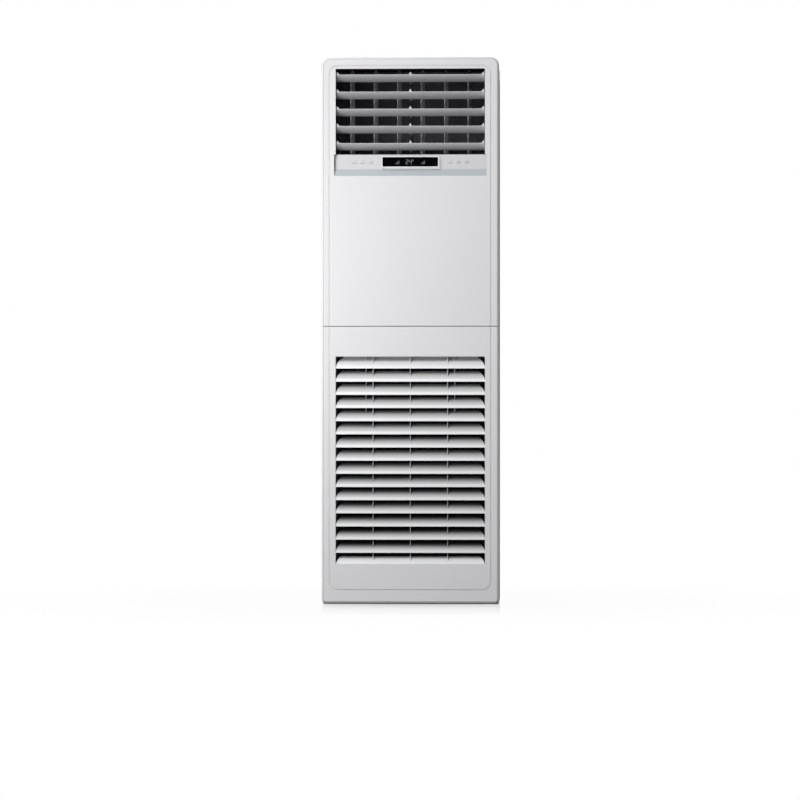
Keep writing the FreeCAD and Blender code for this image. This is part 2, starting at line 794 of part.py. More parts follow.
def slat_profile(sketch):
    """A slat's section: a front lip that kicks out at its foot, then a slope that bulges up and goes back."""
    face = front + S.slat_setback
    neck = face + S.slat_lean
    bend = slat_low + S.slat_lip
    rise = S.slat_rise - S.slat_lip
    run = S.slat_run - S.slat_lean
    slope = root(run * run + rise * rise)
    radius = (slope * slope / 4 + S.slat_bulge * S.slat_bulge) / (2 * S.slat_bulge)
    away = (radius - S.slat_bulge) / slope
    centre = neck + run / 2 + rise * away
    level = bend + rise / 2 - run * away
    inside = (radius - S.slat_wall) / radius
    return outline(sketch, [
        (face, slat_low),
        (neck, bend),
        (neck + run, bend + rise, centre, level, -1),
        (centre + (neck + run - centre) * inside, level + (bend + rise - level) * inside),
        (centre + (neck - centre) * inside, level + (bend - level) * inside, centre, level, 1),
        (face + S.slat_wall, slat_low),
    ])


def intake_panel():
    """Moulded lower front: rounded shell with the curved intake slats, their ribs and the hinge ears."""
    body = new_body("intake_panel")
    wall = S.panel_wall
    pad(body, sill(from_front(body, front), half, S.floor_gap, S.seam_height, S.corner_foot),
        S.panel_depth, against=True)
    fillet(body, lambda e: lies_on(e, "Y", front) and not lies_on(e, "Z", S.seam_height), S.edge_round)
    inside = from_front(body, panel_back)
    sill(inside, half - wall, S.floor_gap + wall, S.seam_height - wall, S.corner_foot - wall)
    pocket(body, inside, S.panel_depth - wall, against=True)
    inner_high = S.seam_height - wall
    inner_round = S.edge_round - wall
    fillet(body, lambda e: lies_on(e, "Y", skin_back) and not lies_on(e, "Z", inner_high), inner_round)
    opening = (-intake_half, intake_half), (S.intake_low, intake_high)
    pocket(body, rectangle(from_front(body, front), *opening), wall)
    pocket(body, groove_band(from_front(body, front), S.seam_height, S.floor_gap + S.groove_foot, -1),
           S.groove_depth)
    lip = rectangle(from_front(body, skin_back), *opening)
    reach = intake_half + S.lip_wall
    rectangle(lip, (-reach, reach), (S.intake_low - S.lip_wall, intake_high + S.lip_wall))
    pad(body, lip, panel_back - skin_back, against=True)
    intake_slats(body)
    hinge_ears(body)
    heel = outline(from_side(body, 0), [
        (panel_back, S.floor_gap),
        (panel_back, S.hinge_height),
        (panel_back - S.heel_cut, S.floor_gap),
    ])
    pocket(body, heel, S.width, both=True)


def intake_slats(body):
    """The slats, one pattern up the intake, drawn in at their back ends, with the ribs behind them, two of
    them short, and the header that closes the gap over the top slat."""
    slat = pad(body, slat_profile(from_side(body, -intake_half)), 2 * intake_half)
    pattern = body.newObject("PartDesign::LinearPattern", "intake_slat_pattern")
    pattern.Originals = [slat]
    upward = [f for f in body.Origin.OriginFeatures if f.Role == "Z_Axis"][0]
    pattern.Direction = (upward, [""])
    bind(pattern, "Length", slat_pitch * (SLATS - 1))
    pattern.Occurrences = SLATS
    body.Tip = pattern
    doc.recompute()
    tapers = from_above(body, S.intake_low)
    for side in (-1, 1):
        edge = side * intake_half
        outline(tapers, [(edge, skin_back), (edge, panel_back), (edge - side * S.slat_end_taper, panel_back)])
    pocket(body, tapers, intake_height, against=True)
    ribs = from_front(body, panel_back)
    for side in (-1, 0, 1):
        middle = side * S.rib_offset
        across = (middle - S.rib_wall / 2, middle + S.rib_wall / 2)
        rectangle(ribs, across, (S.intake_low, intake_high))
    pad(body, ribs, S.panel_depth - S.rib_setback)
    clips = from_front(body, panel_back)
    for side in (-1, 1):
        middle = side * S.clip_offset
        across = (middle - S.rib_wall / 2, middle + S.rib_wall / 2)
        rectangle(clips, across, (intake_high - S.clip_height, intake_high))
    pad(body, clips, S.panel_depth - S.clip_setback)
    head_low = intake_high - S.slat_head - S.slat_wall
    reach = intake_half - S.slat_end_taper
    head = rectangle(from_front(body, panel_back), (-reach, reach), (head_low, intake_high))
    pad(body, head, S.panel_depth - S.slat_setback - S.slat_run + S.slat_wall)


def hinge_ears(body):
    """Two bored ears at the foot of the intake panel, each just outside its bracket."""
    near = hinge_x + S.seat_gap
    for x in (near, -near - S.hinge_ear_wall):
        ear = ear_outline(from_side(body, x), skin_back, hinge_y, S.hinge_height, S.hinge_ear)
        pad(body, ear, S.hinge_ear_wall)
        bore = disc(from_side(body, x), hinge_y, S.hinge_height, S.hinge_pin + S.running_gap)
        pocket(body, bore, S.hinge_ear_wall, against=True)


def hinge_bracket(label, side):
    """Bracket on the front of the base pan with the pin that carries an intake panel ear."""
    body = new_body(label)
    low = hinge_x - S.hinge_bracket_wall if side > 0 else -hinge_x
    arm = from_side(body, low)
    outline(arm, [
        (inner_front, S.hinge_height + S.hinge_ear),
        (hinge_y, S.hinge_height + S.hinge_ear),
        (hinge_y, S.hinge_height - S.hinge_ear, hinge_y, S.hinge_height, 1),
        (inner_front, S.hinge_height - S.hinge_ear),
    ])
    pad(body, arm, S.hinge_bracket_wall)
    pin = disc(from_side(body, side * hinge_x), hinge_y, S.hinge_height, S.hinge_pin)
    pad(body, pin, S.hinge_ear_wall + 2 * S.seat_gap, against=side < 0)
    return body


def air_filter():
    """Filter frame clipped to the back of the intake panel, with its mesh."""
    body = new_body("filter_frame")
    out_x = intake_half + S.filter_overlap
    in_x = out_x - S.filter_rim
    low = S.intake_low - S.filter_overlap
    high = intake_high + S.filter_overlap
    middle = panel_back + S.filter_thick / 2
    rim = rectangle(from_front(body, panel_back), (-out_x, out_x), (low, high))
    rectangle(rim, (-in_x, in_x), (low + S.filter_rim, high - S.filter_rim))
    pad(body, rim, S.filter_thick, against=True)
    bars = from_front(body, middle + S.mesh_thick / 2)
    rectangle(bars, (-S.rib_wall, S.rib_wall), (low + S.filter_rim, high - S.filter_rim))
    pad(body, bars, (S.filter_thick - S.mesh_thick) / 2, against=True)
    block("filter_mesh", (-in_x, in_x), (middle - S.mesh_thick / 2, middle + S.mesh_thick / 2),
          (low + S.filter_rim, high - S.filter_rim))


# Air outlet: duct, vanes, blades and their links
vane_y = front + S.vane_setback
vane_pitch = S.outlet_height / VANES
vane_pin_y = S.vane_chord / 2 + S.ear_reach
vane_pin_z = S.vane_camber
blade_y = front + S.blade_setback
blade_pitch = (outlet_width - 2 * S.blade_margin) / (BLADES - 1)
blade_height = S.outlet_height - 2 * S.blade_end_gap
blade_pin_y = S.blade_chord / 2 + S.ear_reach
blade_ear_z = outlet_low + S.blade_end_gap + S.blade_link_height


def vane_z(number):
    """Height of a horizontal vane's pivot, counted from the lowest."""
    return outlet_low + vane_pitch * (number - 0.5) - S.vane_drop


def blade_x(number):
    """Place of an upright blade's pivot, counted from the left."""
    return S.blade_margin - outlet_half + blade_pitch * (number - 1)


def outlet_duct():
    """Square duct behind the outlet, bored for the vane and blade pivots."""
    body = new_body("outlet_duct")
    wall = S.duct_wall
    ring = rectangle(from_front(body, duct_front), (-outlet_half, outlet_half), (outlet_low, outlet_high))
    out_x = outlet_half + wall
    rectangle(ring, (-out_x, out_x), (outlet_low - wall, outlet_high + wall))
    pad(body, ring, S.duct_depth, against=True)
    bore = S.pivot_radius + S.running_gap
    vane_bores = from_side(body, 0)
    for number in range(1, VANES + 1):
        disc(vane_bores, vane_y, vane_z(number), bore)
    pocket(body, vane_bores, 2 * out_x, both=True)
    blade_bores = from_above(body, outlet_low + S.outlet_height / 2)
    for number in range(1, BLADES + 1):
        disc(blade_bores, blade_x(number), blade_y, bore)
    pocket(body, blade_bores, S.outlet_height + 2 * wall, both=True)


def horizontal_vane(number):
    """A vane that sags between its edges, with a round nose, an end pivot each side and a link ear behind."""
    body = new_body(f"horizontal_vane_{number}")
    chord = S.vane_chord / 2
    camber = S.vane_camber
    radius = (chord * chord + camber * camber) / (2 * camber)
    edge_y = S.vane_thick / 2 * chord / radius
    edge_z = S.vane_thick / 2 * (radius - camber) / radius
    section = outline(from_side(body, 0), [
        (chord + edge_y, camber - edge_z),
        (-chord - edge_y, camber - edge_z, 0, radius, -1),
        (-chord + edge_y, camber + edge_z, -chord, camber, -1),
        (chord - edge_y, camber + edge_z, 0, radius, 1),
    ])
    length = outlet_width - 2 * S.vane_end_gap
    pad(body, section, length, both=True)
    for side in (-1, 1):
        pin = disc(from_side(body, side * length / 2), 0, 0, S.pivot_radius)
        pad(body, pin, S.vane_end_gap + S.pivot_length, against=side < 0)
    root_y = chord - 2 * S.ear_radius
    pad(body, ear_outline(from_side(body, 0), root_y, vane_pin_y, vane_pin_z, S.ear_radius), S.ear_thick)
    hole = disc(from_side(body, 0), vane_pin_y, vane_pin_z, S.link_pin + S.running_gap)
    pocket(body, hole, S.ear_thick, against=True)
    body.Placement = Placement(Vector(), Rotation(Vector(1, 0, 0), -float(S.vane_tilt)))
    place(body, 0, vane_y, vane_z(number))
    bind(body, "Placement.Rotation.Angle", -S.vane_tilt)


def vane_link():
    """Upright bar that joins the ears of the horizontal vanes, with a pin for each."""
    y = vane_y + vane_pin_y * cosine(S.vane_tilt) + vane_pin_z * sine(S.vane_tilt)
    drop = vane_pin_z * cosine(S.vane_tilt) - vane_pin_y * sine(S.vane_tilt)
    side = S.ear_thick + S.seat_gap
    bar = block("vane_link_bar", (side, side + S.link_thick), (y - S.link_width / 2, y + S.link_width / 2),
                (vane_z(1) + drop - S.link_end, vane_z(VANES) + drop + S.link_end))
    pins = []
    for number in range(1, VANES + 1):
        start = (0, y, vane_z(number) + drop)
        pins.append(rod(f"vane_link_pin_{number}", S.link_pin, side + S.link_thick, start, (1, 0, 0)))
    fuse("vane_link", [bar] + pins)


def upright_blade(number):
    """A thin upright blade with cut corners, a pivot at each end and a link ear at its back edge."""
    body = new_body(f"upright_blade_{number}")
    chord = S.blade_chord / 2
    high = blade_height / 2
    corner = S.blade_corner
    plate = outline(from_side(body, 0), [
        (-chord + corner, -high),
        (chord - corner, -high),
        (chord, -high + corner),
        (chord, high - corner),
        (chord - corner, high),
        (-chord + corner, high),
        (-chord, high - corner),
        (-chord, -high + corner),
    ])
    pad(body, plate, S.blade_thick, both=True)
    reach = S.pivot_length + S.blade_end_gap
    for side in (-1, 1):
        pin = disc(from_above(body, side * (high - S.pivot_length)), 0, 0, S.pivot_radius)
        pad(body, pin, reach + S.pivot_length, against=side < 0)
    ear_z = S.blade_link_height - high
    radius = S.ear_radius
    ear = outline(from_above(body, ear_z), [
        (-radius, chord - 2 * radius),
        (radius, chord - 2 * radius),
        (radius, blade_pin_y),
        (-radius, blade_pin_y, 0, blade_pin_y, 1),
    ])
    pad(body, ear, S.ear_thick)
    hole = disc(from_above(body, ear_z), 0, blade_pin_y, S.link_pin + S.running_gap)
    pocket(body, hole, S.ear_thick, against=True)
    body.Placement = Placement(Vector(), Rotation(Vector(0, 0, 1), -float(S.blade_yaw)))
    place(body, blade_x(number), blade_y, outlet_low + S.outlet_height / 2)
    bind(body, "Placement.Rotation.Angle", -S.blade_yaw)


def blade_link():
    """Level bar under the ears of the upright blades, with a pin for each."""
    shift = blade_pin_y * sine(S.blade_yaw)
    y = blade_y + blade_pin_y * cosine(S.blade_yaw)
    top = blade_ear_z - S.seat_gap
    low = top - S.link_thick
    bar = block("blade_link_bar", (blade_x(1) + shift - S.link_end, blade_x(BLADES) + shift + S.link_end),
                (y - S.link_width / 2, y + S.link_width / 2), (low, top))
    pins = []
    length = S.link_thick + S.seat_gap + S.ear_thick
    for number in range(1, BLADES + 1):
        start = (blade_x(number) + shift, y, low)
        pins.append(rod(f"blade_link_pin_{number}", S.link_pin, length, start, (0, 0, 1)))
    fuse("blade_link", [bar] + pins)


def swing_motors():
    """The two small motors: one beside the duct at the middle vane, one above it at the first blade."""
    middle = (VANES + 1) / 2
    beside = (outlet_half + S.duct_wall, vane_y, vane_z(middle))
    above = (blade_x(1), blade_y, outlet_high + S.duct_wall)
    group("swing_motors", [
        rod("vane_swing_motor", S.swing_motor_radius, S.swing_motor_length, beside, (1, 0, 0)),
        rod("blade_swing_motor", S.swing_motor_radius, S.swing_motor_length, above, (0, 0, 1)),
    ])


# Control strip
def button_places():
    """Name and X of each button, from left to right."""
    places = []
    for side, hand in ((-1, "left"), (1, "right")):
        for n in range(BUTTONS_PER_SIDE):
            places.append((f"button_{hand}_{n + 1}", side * (S.button_first + n * S.button_pitch)))
    return places


def control_panel():
    """Moulded strip under the outlet with a sloping ledge, a display window and button holes."""
    body = new_body("control_panel")
    wall = S.strip_wall
    foot = ledge_low + S.seat_gap
    ledge = front + S.ledge_proud
    section = outline(from_side(body, 0), [
        (ledge, foot),
        (strip_face, strip_low),
        (strip_face, outlet_low),
        (duct_front, outlet_low),
        (duct_front, outlet_low - wall),
        (strip_face + wall, outlet_low - wall),
        (strip_face + wall, strip_low),
        (ledge + wall, foot),
    ])
    pad(body, section, 2 * (strip_half - S.seat_gap), both=True)
    holes = from_front(body, strip_face)
    wide = S.display_width / 2 + S.running_gap
    high = S.display_height / 2 + S.running_gap
    rectangle(holes, (-wide, wide), (strip_middle - high, strip_middle + high))
    gap = 2 * S.seat_gap
    for _, x in button_places():
        stadium(holes, x, strip_middle, S.button_width + gap, S.button_height + gap)
    pocket(body, holes, wall)


def buttons():
    """Push buttons with round ends, standing a little proud of the strip."""
    for name, x in button_places():
        body = new_body(name)
        face = stadium(from_front(body, strip_face - S.button_proud), 0, 0, S.button_width, S.button_height)
        pad(body, face, S.button_depth, against=True)
        fillet(body, lambda e: lies_on(e, "Y", strip_face - S.button_proud), S.button_proud / 2)
        place(body, x, 0, strip_middle)


def display():
    """Dark display window in the strip, and the board that carries it from behind."""
    face = strip_face - S.display_proud
    back = face + S.display_thick
    wide = S.display_width / 2
    high = S.display_height / 2
    block("display_window", (-wide, wide), (face, back), (strip_middle - high, strip_middle + high))
    wide = wide + S.board_margin
    high = high + S.board_margin / 2
    depth = (back, back + S.board_thick)
    block("display_board", (-wide, wide), depth, (strip_middle - high, strip_middle + high))


# Blower
def scroll_radius(quarter):
    """Inner radius of the scroll in its first, second or third quarter turn from the tongue."""
    return S.wheel_radius + S.scroll_gap + (quarter - 1) * S.scroll_growth


def scroll_path(offset):
    """The scroll from the tongue round to the throat, as arcs that meet in line.
    offset is the distance outside the inner face."""
    x = S.blower_x
    z = S.blower_height
    shift = S.scroll_growth
    radius = [scroll_radius(n) for n in (1, 2, 3)]
    return [
        (x + radius[0] + offset, z, x, z, -1),
        (x - shift, z - radius[1] - offset, x - shift, z, -1),
        (x - shift - radius[2] - offset, z + shift, x - shift, z + shift, -1),
        (x - shift - radius[2] - offset, S.deck_height),
    ]


def scroll_back_path(offset):
    """The same arcs outside the wall, run back from the throat to the tongue."""
    x = S.blower_x
    z = S.blower_height
    shift = S.scroll_growth
    radius = [scroll_radius(n) for n in (1, 2, 3)]
    outer = radius[0] + offset
    return [
        (x - shift - radius[2] - offset, S.deck_height),
        (x - shift - radius[2] - offset, z + shift),
        (x - shift, z - radius[1] - offset, x - shift, z + shift, 1),
        (x + outer, z, x - shift, z, 1),
        (x + offset, z + root(outer * outer - offset * offset), x, z, 1),
        (x + offset, S.deck_height),
    ]


def blower_scroll():
    """Snail-shaped blower housing: wrapper, back plate with a shaft hole and front plate with the inlet."""
    body = new_body("blower_scroll")
    thick = S.scroll_sheet
    tongue = [(S.blower_x, S.deck_height), (S.blower_x, S.blower_height + scroll_radius(1))]
    wrapper = outline(from_front(body, scroll_front), tongue + scroll_path(0) + scroll_back_path(thick))
    pad(body, wrapper, scroll_depth, against=True)
    for y, hole in ((scroll_front, S.eye_radius + S.bell_wall + S.seat_gap),
                    (scroll_back - thick, 2 * S.shaft_radius)):
        plate = outline(from_front(body, y), scroll_back_path(thick))
        disc(plate, S.blower_x, S.blower_height, hole)
        pad(body, plate, thick, against=True)


def revolve(body, sketch):
    """Turn a profile of radius and Y about the body's Y axis."""
    doc.recompute()
    step = body.newObject("PartDesign::Revolution", body.Label + "_turn")
    step.Profile = sketch
    step.ReferenceAxis = (sketch, ["V_Axis"])
    step.Angle = 360
    doc.recompute()
    return step


def inlet_bell():
    """Flared ring that leads air into the wheel's eye, held in the scroll's front plate."""
    body = new_body("inlet_bell")
    eye = S.eye_radius
    flare = eye + S.bell_radius
    wall = S.bell_wall
    collar = 2 * S.scroll_sheet
    revolve(body, outline(from_above(body, 0), [
        (eye, collar),
        (eye, 0),
        (flare, -S.bell_radius, flare, 0, 1),
        (flare, wall - S.bell_radius),
        (eye + wall, 0, flare, 0, -1),
        (eye + wall, collar),
    ]))
    place(body, S.blower_x, scroll_front, S.blower_height)


wheel_front = scroll_front + S.scroll_sheet + S.wheel_gap


def blower_wheel():
    """Centrifugal wheel: back plate with hub, forward-curved blades all round, and a front ring."""
    body = new_body("blower_wheel")
    rim = S.wheel_radius
    eye = S.eye_radius
    plate = S.wheel_width - S.wheel_plate
    hub = S.wheel_width - S.hub_length
    revolve(body, outline(from_above(body, 0), [
        (S.shaft_radius, hub),
        (S.hub_radius, hub),
        (S.hub_radius, plate),
        (rim, plate),
        (rim, S.wheel_width),
        (S.shaft_radius, S.wheel_width),
    ]))
    reach = (rim - eye) / 2
    curve = root(2 * reach * reach)
    inside = (curve - S.blade_sheet) / curve
    middle = eye + reach
    blade = outline(from_front(body, 0), [
        (rim, 0),
        (eye, 0, middle, -reach, 1),
        (middle - reach * inside, reach * inside - reach),
        (middle + reach * inside, reach * inside - reach, middle, -reach, -1),
    ])
    first = pad(body, blade, plate, against=True)
    pattern = body.newObject("PartDesign::PolarPattern", "blower_blade_pattern")
    pattern.Originals = [first]
    spin = [f for f in body.Origin.OriginFeatures if f.Role == "Y_Axis"][0]
    pattern.Axis = (spin, [""])
    pattern.Angle = 360
    pattern.Occurrences = BLOWER_BLADES
    body.Tip = pattern
    doc.recompute()
    ring = disc(from_front(body, 0), 0, 0, rim)
    disc(ring, 0, 0, rim - S.wheel_ring)
    pad(body, ring, S.wheel_plate, against=True)
    place(body, S.blower_x, wheel_front, S.blower_height)


def fan_motor():
    """Round motor on the back plate of the scroll, bored for the shaft."""
    body = new_body("fan_motor")
    bore = S.shaft_radius + S.running_gap
    end = S.motor_length
    curve = S.motor_round
    revolve(body, outline(from_above(body, 0), [
        (bore, 0),
        (S.motor_flange, 0),
        (S.motor_flange, S.motor_flange_thick),
        (S.motor_radius, S.motor_flange_thick),
        (S.motor_radius, end - curve),
        (S.motor_radius - curve, end, S.motor_radius - curve, end - curve, 1),
        (bore, end),
    ]))
    place(body, S.blower_x, scroll_back, S.blower_height)


def fan_shaft():
    """Shaft from the wheel's hub to the end of the motor."""
    start = wheel_front + S.wheel_width - S.hub_length
    length = scroll_back + S.motor_length - start
    rod("fan_shaft", S.shaft_radius, length, (S.blower_x, start, S.blower_height), (0, 1, 0))


# Coil, drain and pipes
tubes_per_row = int((float(coil_length) - float(S.tube_pitch)) / float(S.tube_pitch))


def tube_along(row, number):
    """Place of a tube along the lean; the front row is set half a pitch higher."""
    return S.tube_pitch * (number + 0.5 + 0.5 * row)


def tube_across(row):
    return front_row if row else back_row


def lean_placement():
    lean = math.degrees(math.atan2(float(S.coil_run), float(S.coil_rise)))
    return Placement(Vector(0, float(coil_y), float(coil_z)), Rotation(Vector(1, 0, 0), -lean))


def coil_fins():
    """Thin flat fins, evenly spaced between the end plates."""
    width = 2 * float(coil_half)
    thick = float(S.fin_thick)
    count = int(width / float(S.fin_pitch)) + 1
    step = (width - thick) / (count - 1)
    fins = []
    for n in range(count):
        corner = Vector(n * step - width / 2, 0, 0)
        fins.append(Part.makeBox(thick, float(S.coil_thick), float(coil_length), corner))
    shape_piece("coil_fins", Part.makeCompound(fins), lean_placement())


def coil_tubes():
    """Copper tubes through the fins, joined into one path by return bends at both ends."""
    end = float(plate_out + S.tube_end)
    radius = float(S.tube_radius)
    solids = []

    def spot(row, number):
        return Vector(0, float(tube_across(row)), float(tube_along(row, number)))

    for row in (0, 1):
        for number in range(tubes_per_row):
            start = spot(row, number) - Vector(end, 0, 0)
            solids.append(Part.makeCylinder(radius, 2 * end, start, Vector(1, 0, 0)))
    shape_piece("coil_tubes", Part.makeCompound(solids + return_bends(spot, end, radius)), lean_placement())


def return_bends(spot, end, radius):
    """Half rings between neighbouring tubes, left and right in turn, and one across the rows at the top."""
    last = tubes_per_row - 1
    pairs = [((row, n), (row, n + 1), 1 if n % 2 else -1) for row in (0, 1) for n in range(last)]
    pairs.append(((0, last), (1, last), 1 if last % 2 else -1))
    bends = []
    for low, high, side in pairs:
        across = spot(*high) - spot(*low)
        middle = spot(*low) + across / 2
        outward = Vector(side, 0, 0)
        tip = middle + outward * (across.Length / 2)
        shift = outward * end
        path = Part.Arc(spot(*low) + shift, tip + shift, spot(*high) + shift).toShape()
        ring = Part.Wire(Part.Circle(spot(*low) + shift, outward, radius).toShape())
        bends.append(Part.Wire(path).makePipeShell([ring], True, False))
    return bends


def coil_end_plate(label, x):
    """Sheet plate at an end of the coil, holed for the tubes, standing on the deck."""
    body = new_body(label)
    foot_y, foot_z = coil_point(S.coil_thick, 0)
    sheet_plate = outline(from_side(body, x), [
        (coil_y, deck_top),
        (coil_y, coil_z),
        coil_point(0, coil_length),
        coil_point(S.coil_thick, coil_length),
        (foot_y, foot_z),
        (foot_y, deck_top),
    ])
    for row in (0, 1):
        for number in range(tubes_per_row):
            y, z = coil_point(tube_across(row), tube_along(row, number))
            disc(sheet_plate, y, z, S.tube_radius + S.running_gap)
    pad(body, sheet_plate, S.coil_plate)


pan_front = coil_y - S.pan_clear
pan_back = pan_front + S.pan_depth


def drain_pan():
    """Open tray on the deck under the foot of the coil, with an outlet in its back wall."""
    body = new_body("drain_pan")
    wall = S.pan_wall
    reach = coil_half - S.pan_clear
    pad(body, rectangle(from_above(body, deck_top), (-reach, reach), (pan_front, pan_back)), S.pan_height)
    inner = from_above(body, deck_top + S.pan_height)
    rectangle(inner, (wall - reach, reach - wall), (pan_front + wall, pan_back - wall))
    pocket(body, inner, S.pan_height - wall)
    hole = disc(from_front(body, pan_back), drain_x, drain_z, S.drain_radius - S.pipe_wall)
    pocket(body, hole, wall, against=True)


def drain_pipe():
    """Straight drain pipe from the pan to the back of the cabinet."""
    start = (drain_x, pan_back, drain_z)
    length = rear - pan_back
    outer = rod("drain_pipe_outside", S.drain_radius, length, start, (0, 1, 0))
    inner = rod("drain_pipe_bore", S.drain_radius - S.pipe_wall, length, start, (0, 1, 0))
    cut("drain_pipe", outer, [inner])


def water_pipe(label, y, z):
    """Copper pipe from a coil tube's end, round a bend and back to the cabinet's rear face."""
    bend = float(S.pipe_bend)
    corner = Vector(float(pipe_x), float(y), float(z))
    start = Vector(float(plate_out + S.tube_end), float(y), float(z))
    end = Vector(float(pipe_x), float(rear), float(z))
    leave = corner - Vector(bend, 0, 0)
    enter = corner + Vector(0, bend, 0)
    centre = leave + Vector(0, bend, 0)
    knee = centre + Vector(1, -1, 0).normalize() * bend
    path = Part.Wire([
        Part.LineSegment(start, leave).toShape(),
        Part.Arc(leave, knee, enter).toShape(),
        Part.LineSegment(enter, end).toShape(),
    ])
    tubes = []
    for radius in (float(S.pipe_radius), float(S.pipe_radius - S.pipe_wall)):
        ring = Part.Wire(Part.Circle(start, Vector(1, 0, 0), radius).toShape())
        tubes.append(path.makePipeShell([ring], True, False))
    shape_piece(label, tubes[0].cut(tubes[1]))


def pipe_grommets():
    """Rubber rings round the pipes where they leave the back."""
    rings = []
    for n, (x, z, radius) in enumerate(PORTS, 1):
        start = (x, rear - S.grommet_depth, z)
        outer = rod(f"grommet_{n}_outside", radius + S.grommet_wall, S.grommet_depth, start, (0, 1, 0))
        bore = rod(f"grommet_{n}_bore", radius + S.running_gap, S.grommet_depth, start, (0, 1, 0))
        rings.append(cut(f"grommet_{n}", outer, [bore]))
    group("pipe_grommets", rings)


# Control box
box_left = side_in - S.box_width
box_front = front + S.box_setback
box_back = box_front + S.box_depth
box_high = S.box_low + S.box_height


def control_box():
    """Sheet box on the right side panel, open to the front."""
    body = new_body("control_box")
    wall = S.sheet
    outer = rectangle(from_front(body, box_front), (box_left, side_in), (S.box_low, box_high))
    pad(body, outer, S.box_depth, against=True)
    inner = from_front(body, box_front)
    rectangle(inner, (box_left + wall, side_in - wall), (S.box_low + wall, box_high - wall))
    pocket(body, inner, S.box_depth - wall)
    block("control_box_cover", (box_left, side_in), (box_front - wall, box_front), (S.box_low, box_high))


def box_contents():
    """Terminal block on the back wall of the control box and run capacitor on its floor."""
    floor = S.box_low + S.sheet
    back = box_back - S.sheet
    middle = (box_left + side_in) / 2
    left = middle - S.terminal_width / 2
    right = middle + S.terminal_width / 2
    full = (back - S.terminal_depth, back)
    tray = block("terminal_bar", (left, right), full, (floor, floor + S.terminal_height))
    wells = []
    step = S.terminal_height / 4
    for n in range(4):
        low = floor + step * n + step / 4
        depth = (back - S.terminal_depth, back - S.terminal_depth / 2)
        wide = (left + step / 4, right - step / 4)
        wells.append(block(f"terminal_well_{n + 1}", wide, depth, (low, low + step / 2)))
    cut("terminal_block", tray, wells)
    start = (middle, box_front + S.box_depth / 3, floor)
    rod("run_capacitor", S.capacitor_radius, S.capacitor_length, start, (0, 0, 1))


def main():
    base_pan()
    base_rim()
    side_panel("left_side_panel", -1)
    side_panel("right_side_panel", 1)
    corner_strips()
    back_panel()
    cabinet_screws()
    top_cover()
    cross_rail()
    grille_catches()
    deck()
    foam_liner()
    upper_front_panel()
    intake_panel()
    brackets = [hinge_bracket("hinge_bracket_left", -1), hinge_bracket("hinge_bracket_right", 1)]
    group("hinge_brackets", brackets)
    air_filter()
    outlet_duct()
    for number in range(1, VANES + 1):
        horizontal_vane(number)
    vane_link()
    for number in range(1, BLADES + 1):
        upright_blade(number)
    blade_link()
    swing_motors()
    control_panel()
    buttons()
    display()
    blower_scroll()
    inlet_bell()
    blower_wheel()
    fan_motor()
    fan_shaft()
    coil_fins()
    coil_tubes()
    coil_end_plate("coil_end_plate_left", -plate_out)
    coil_end_plate("coil_end_plate_right", coil_half)
    drain_pan()
    drain_pipe()
    water_pipe("supply_pipe", supply_y, supply_z)
    water_pipe("return_pipe", return_y, return_z)
    pipe_grommets()
    control_box()
    box_contents()


def export():
    """Check every object and piece, then write each piece under its own name."""
    doc.recompute()
    for thing in doc.Objects:
        if "Invalid" in thing.State or "Error" in thing.State:
            raise RuntimeError(f"{thing.Label} did not build: {thing.State}")
    kinds = ("PartDesign::Body", "Part::")
    used = {child for thing in doc.Objects for child in thing.OutList if thing.TypeId.startswith("Part::")}
    pieces = [t for t in doc.Objects if t.TypeId.startswith(kinds) and t not in used]
    for piece in pieces:
        if piece.Shape.isNull() or not piece.Shape.isValid():
            raise RuntimeError(f"{piece.Label} has no valid shape")
    os.makedirs("parts", exist_ok=True)
    for piece in pieces:
        piece.Shape.exportStep(f"parts/{piece.Label}.step")
    print(len(pieces), "pieces written")


main()
export()
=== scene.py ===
"""Floor standing fan coil unit: finishes, printed marks, small trim and a plain studio round the fixed frame.

Metres, +Z up, front towards -Y, as in the frame. The trim takes its places from the frame's nodes, so it follows
the solids. Its own sizes, the heights of the painted shade on the slats, the colours and the light are properties.
"""

import json
import math

import bmesh
import bpy
import numpy as np
from bpy.props import FloatProperty, PointerProperty, StringProperty
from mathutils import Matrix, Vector


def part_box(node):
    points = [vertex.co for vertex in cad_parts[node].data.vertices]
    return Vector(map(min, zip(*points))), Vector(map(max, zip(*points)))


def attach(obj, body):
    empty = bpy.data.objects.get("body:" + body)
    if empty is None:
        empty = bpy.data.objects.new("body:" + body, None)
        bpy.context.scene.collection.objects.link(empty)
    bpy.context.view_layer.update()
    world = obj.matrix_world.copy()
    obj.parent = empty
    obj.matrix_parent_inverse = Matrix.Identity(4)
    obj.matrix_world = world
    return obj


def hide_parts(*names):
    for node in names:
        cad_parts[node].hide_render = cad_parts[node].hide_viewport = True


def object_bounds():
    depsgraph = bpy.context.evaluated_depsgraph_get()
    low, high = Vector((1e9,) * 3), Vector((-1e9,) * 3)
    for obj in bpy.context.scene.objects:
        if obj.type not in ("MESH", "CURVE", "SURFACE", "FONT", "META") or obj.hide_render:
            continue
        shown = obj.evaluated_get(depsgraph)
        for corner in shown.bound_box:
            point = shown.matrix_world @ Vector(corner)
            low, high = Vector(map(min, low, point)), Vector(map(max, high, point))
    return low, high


bl_info = {
    "name": "Floor standing fan coil unit",
    "version": (1, 0, 0),
    "blender": (4, 5, 0),
    "location": "View3D > Sidebar > Fan Coil",
    "description": "Finishes, printed marks, small trim and studio for a floor standing fan coil unit",
    "category": "Object",
}

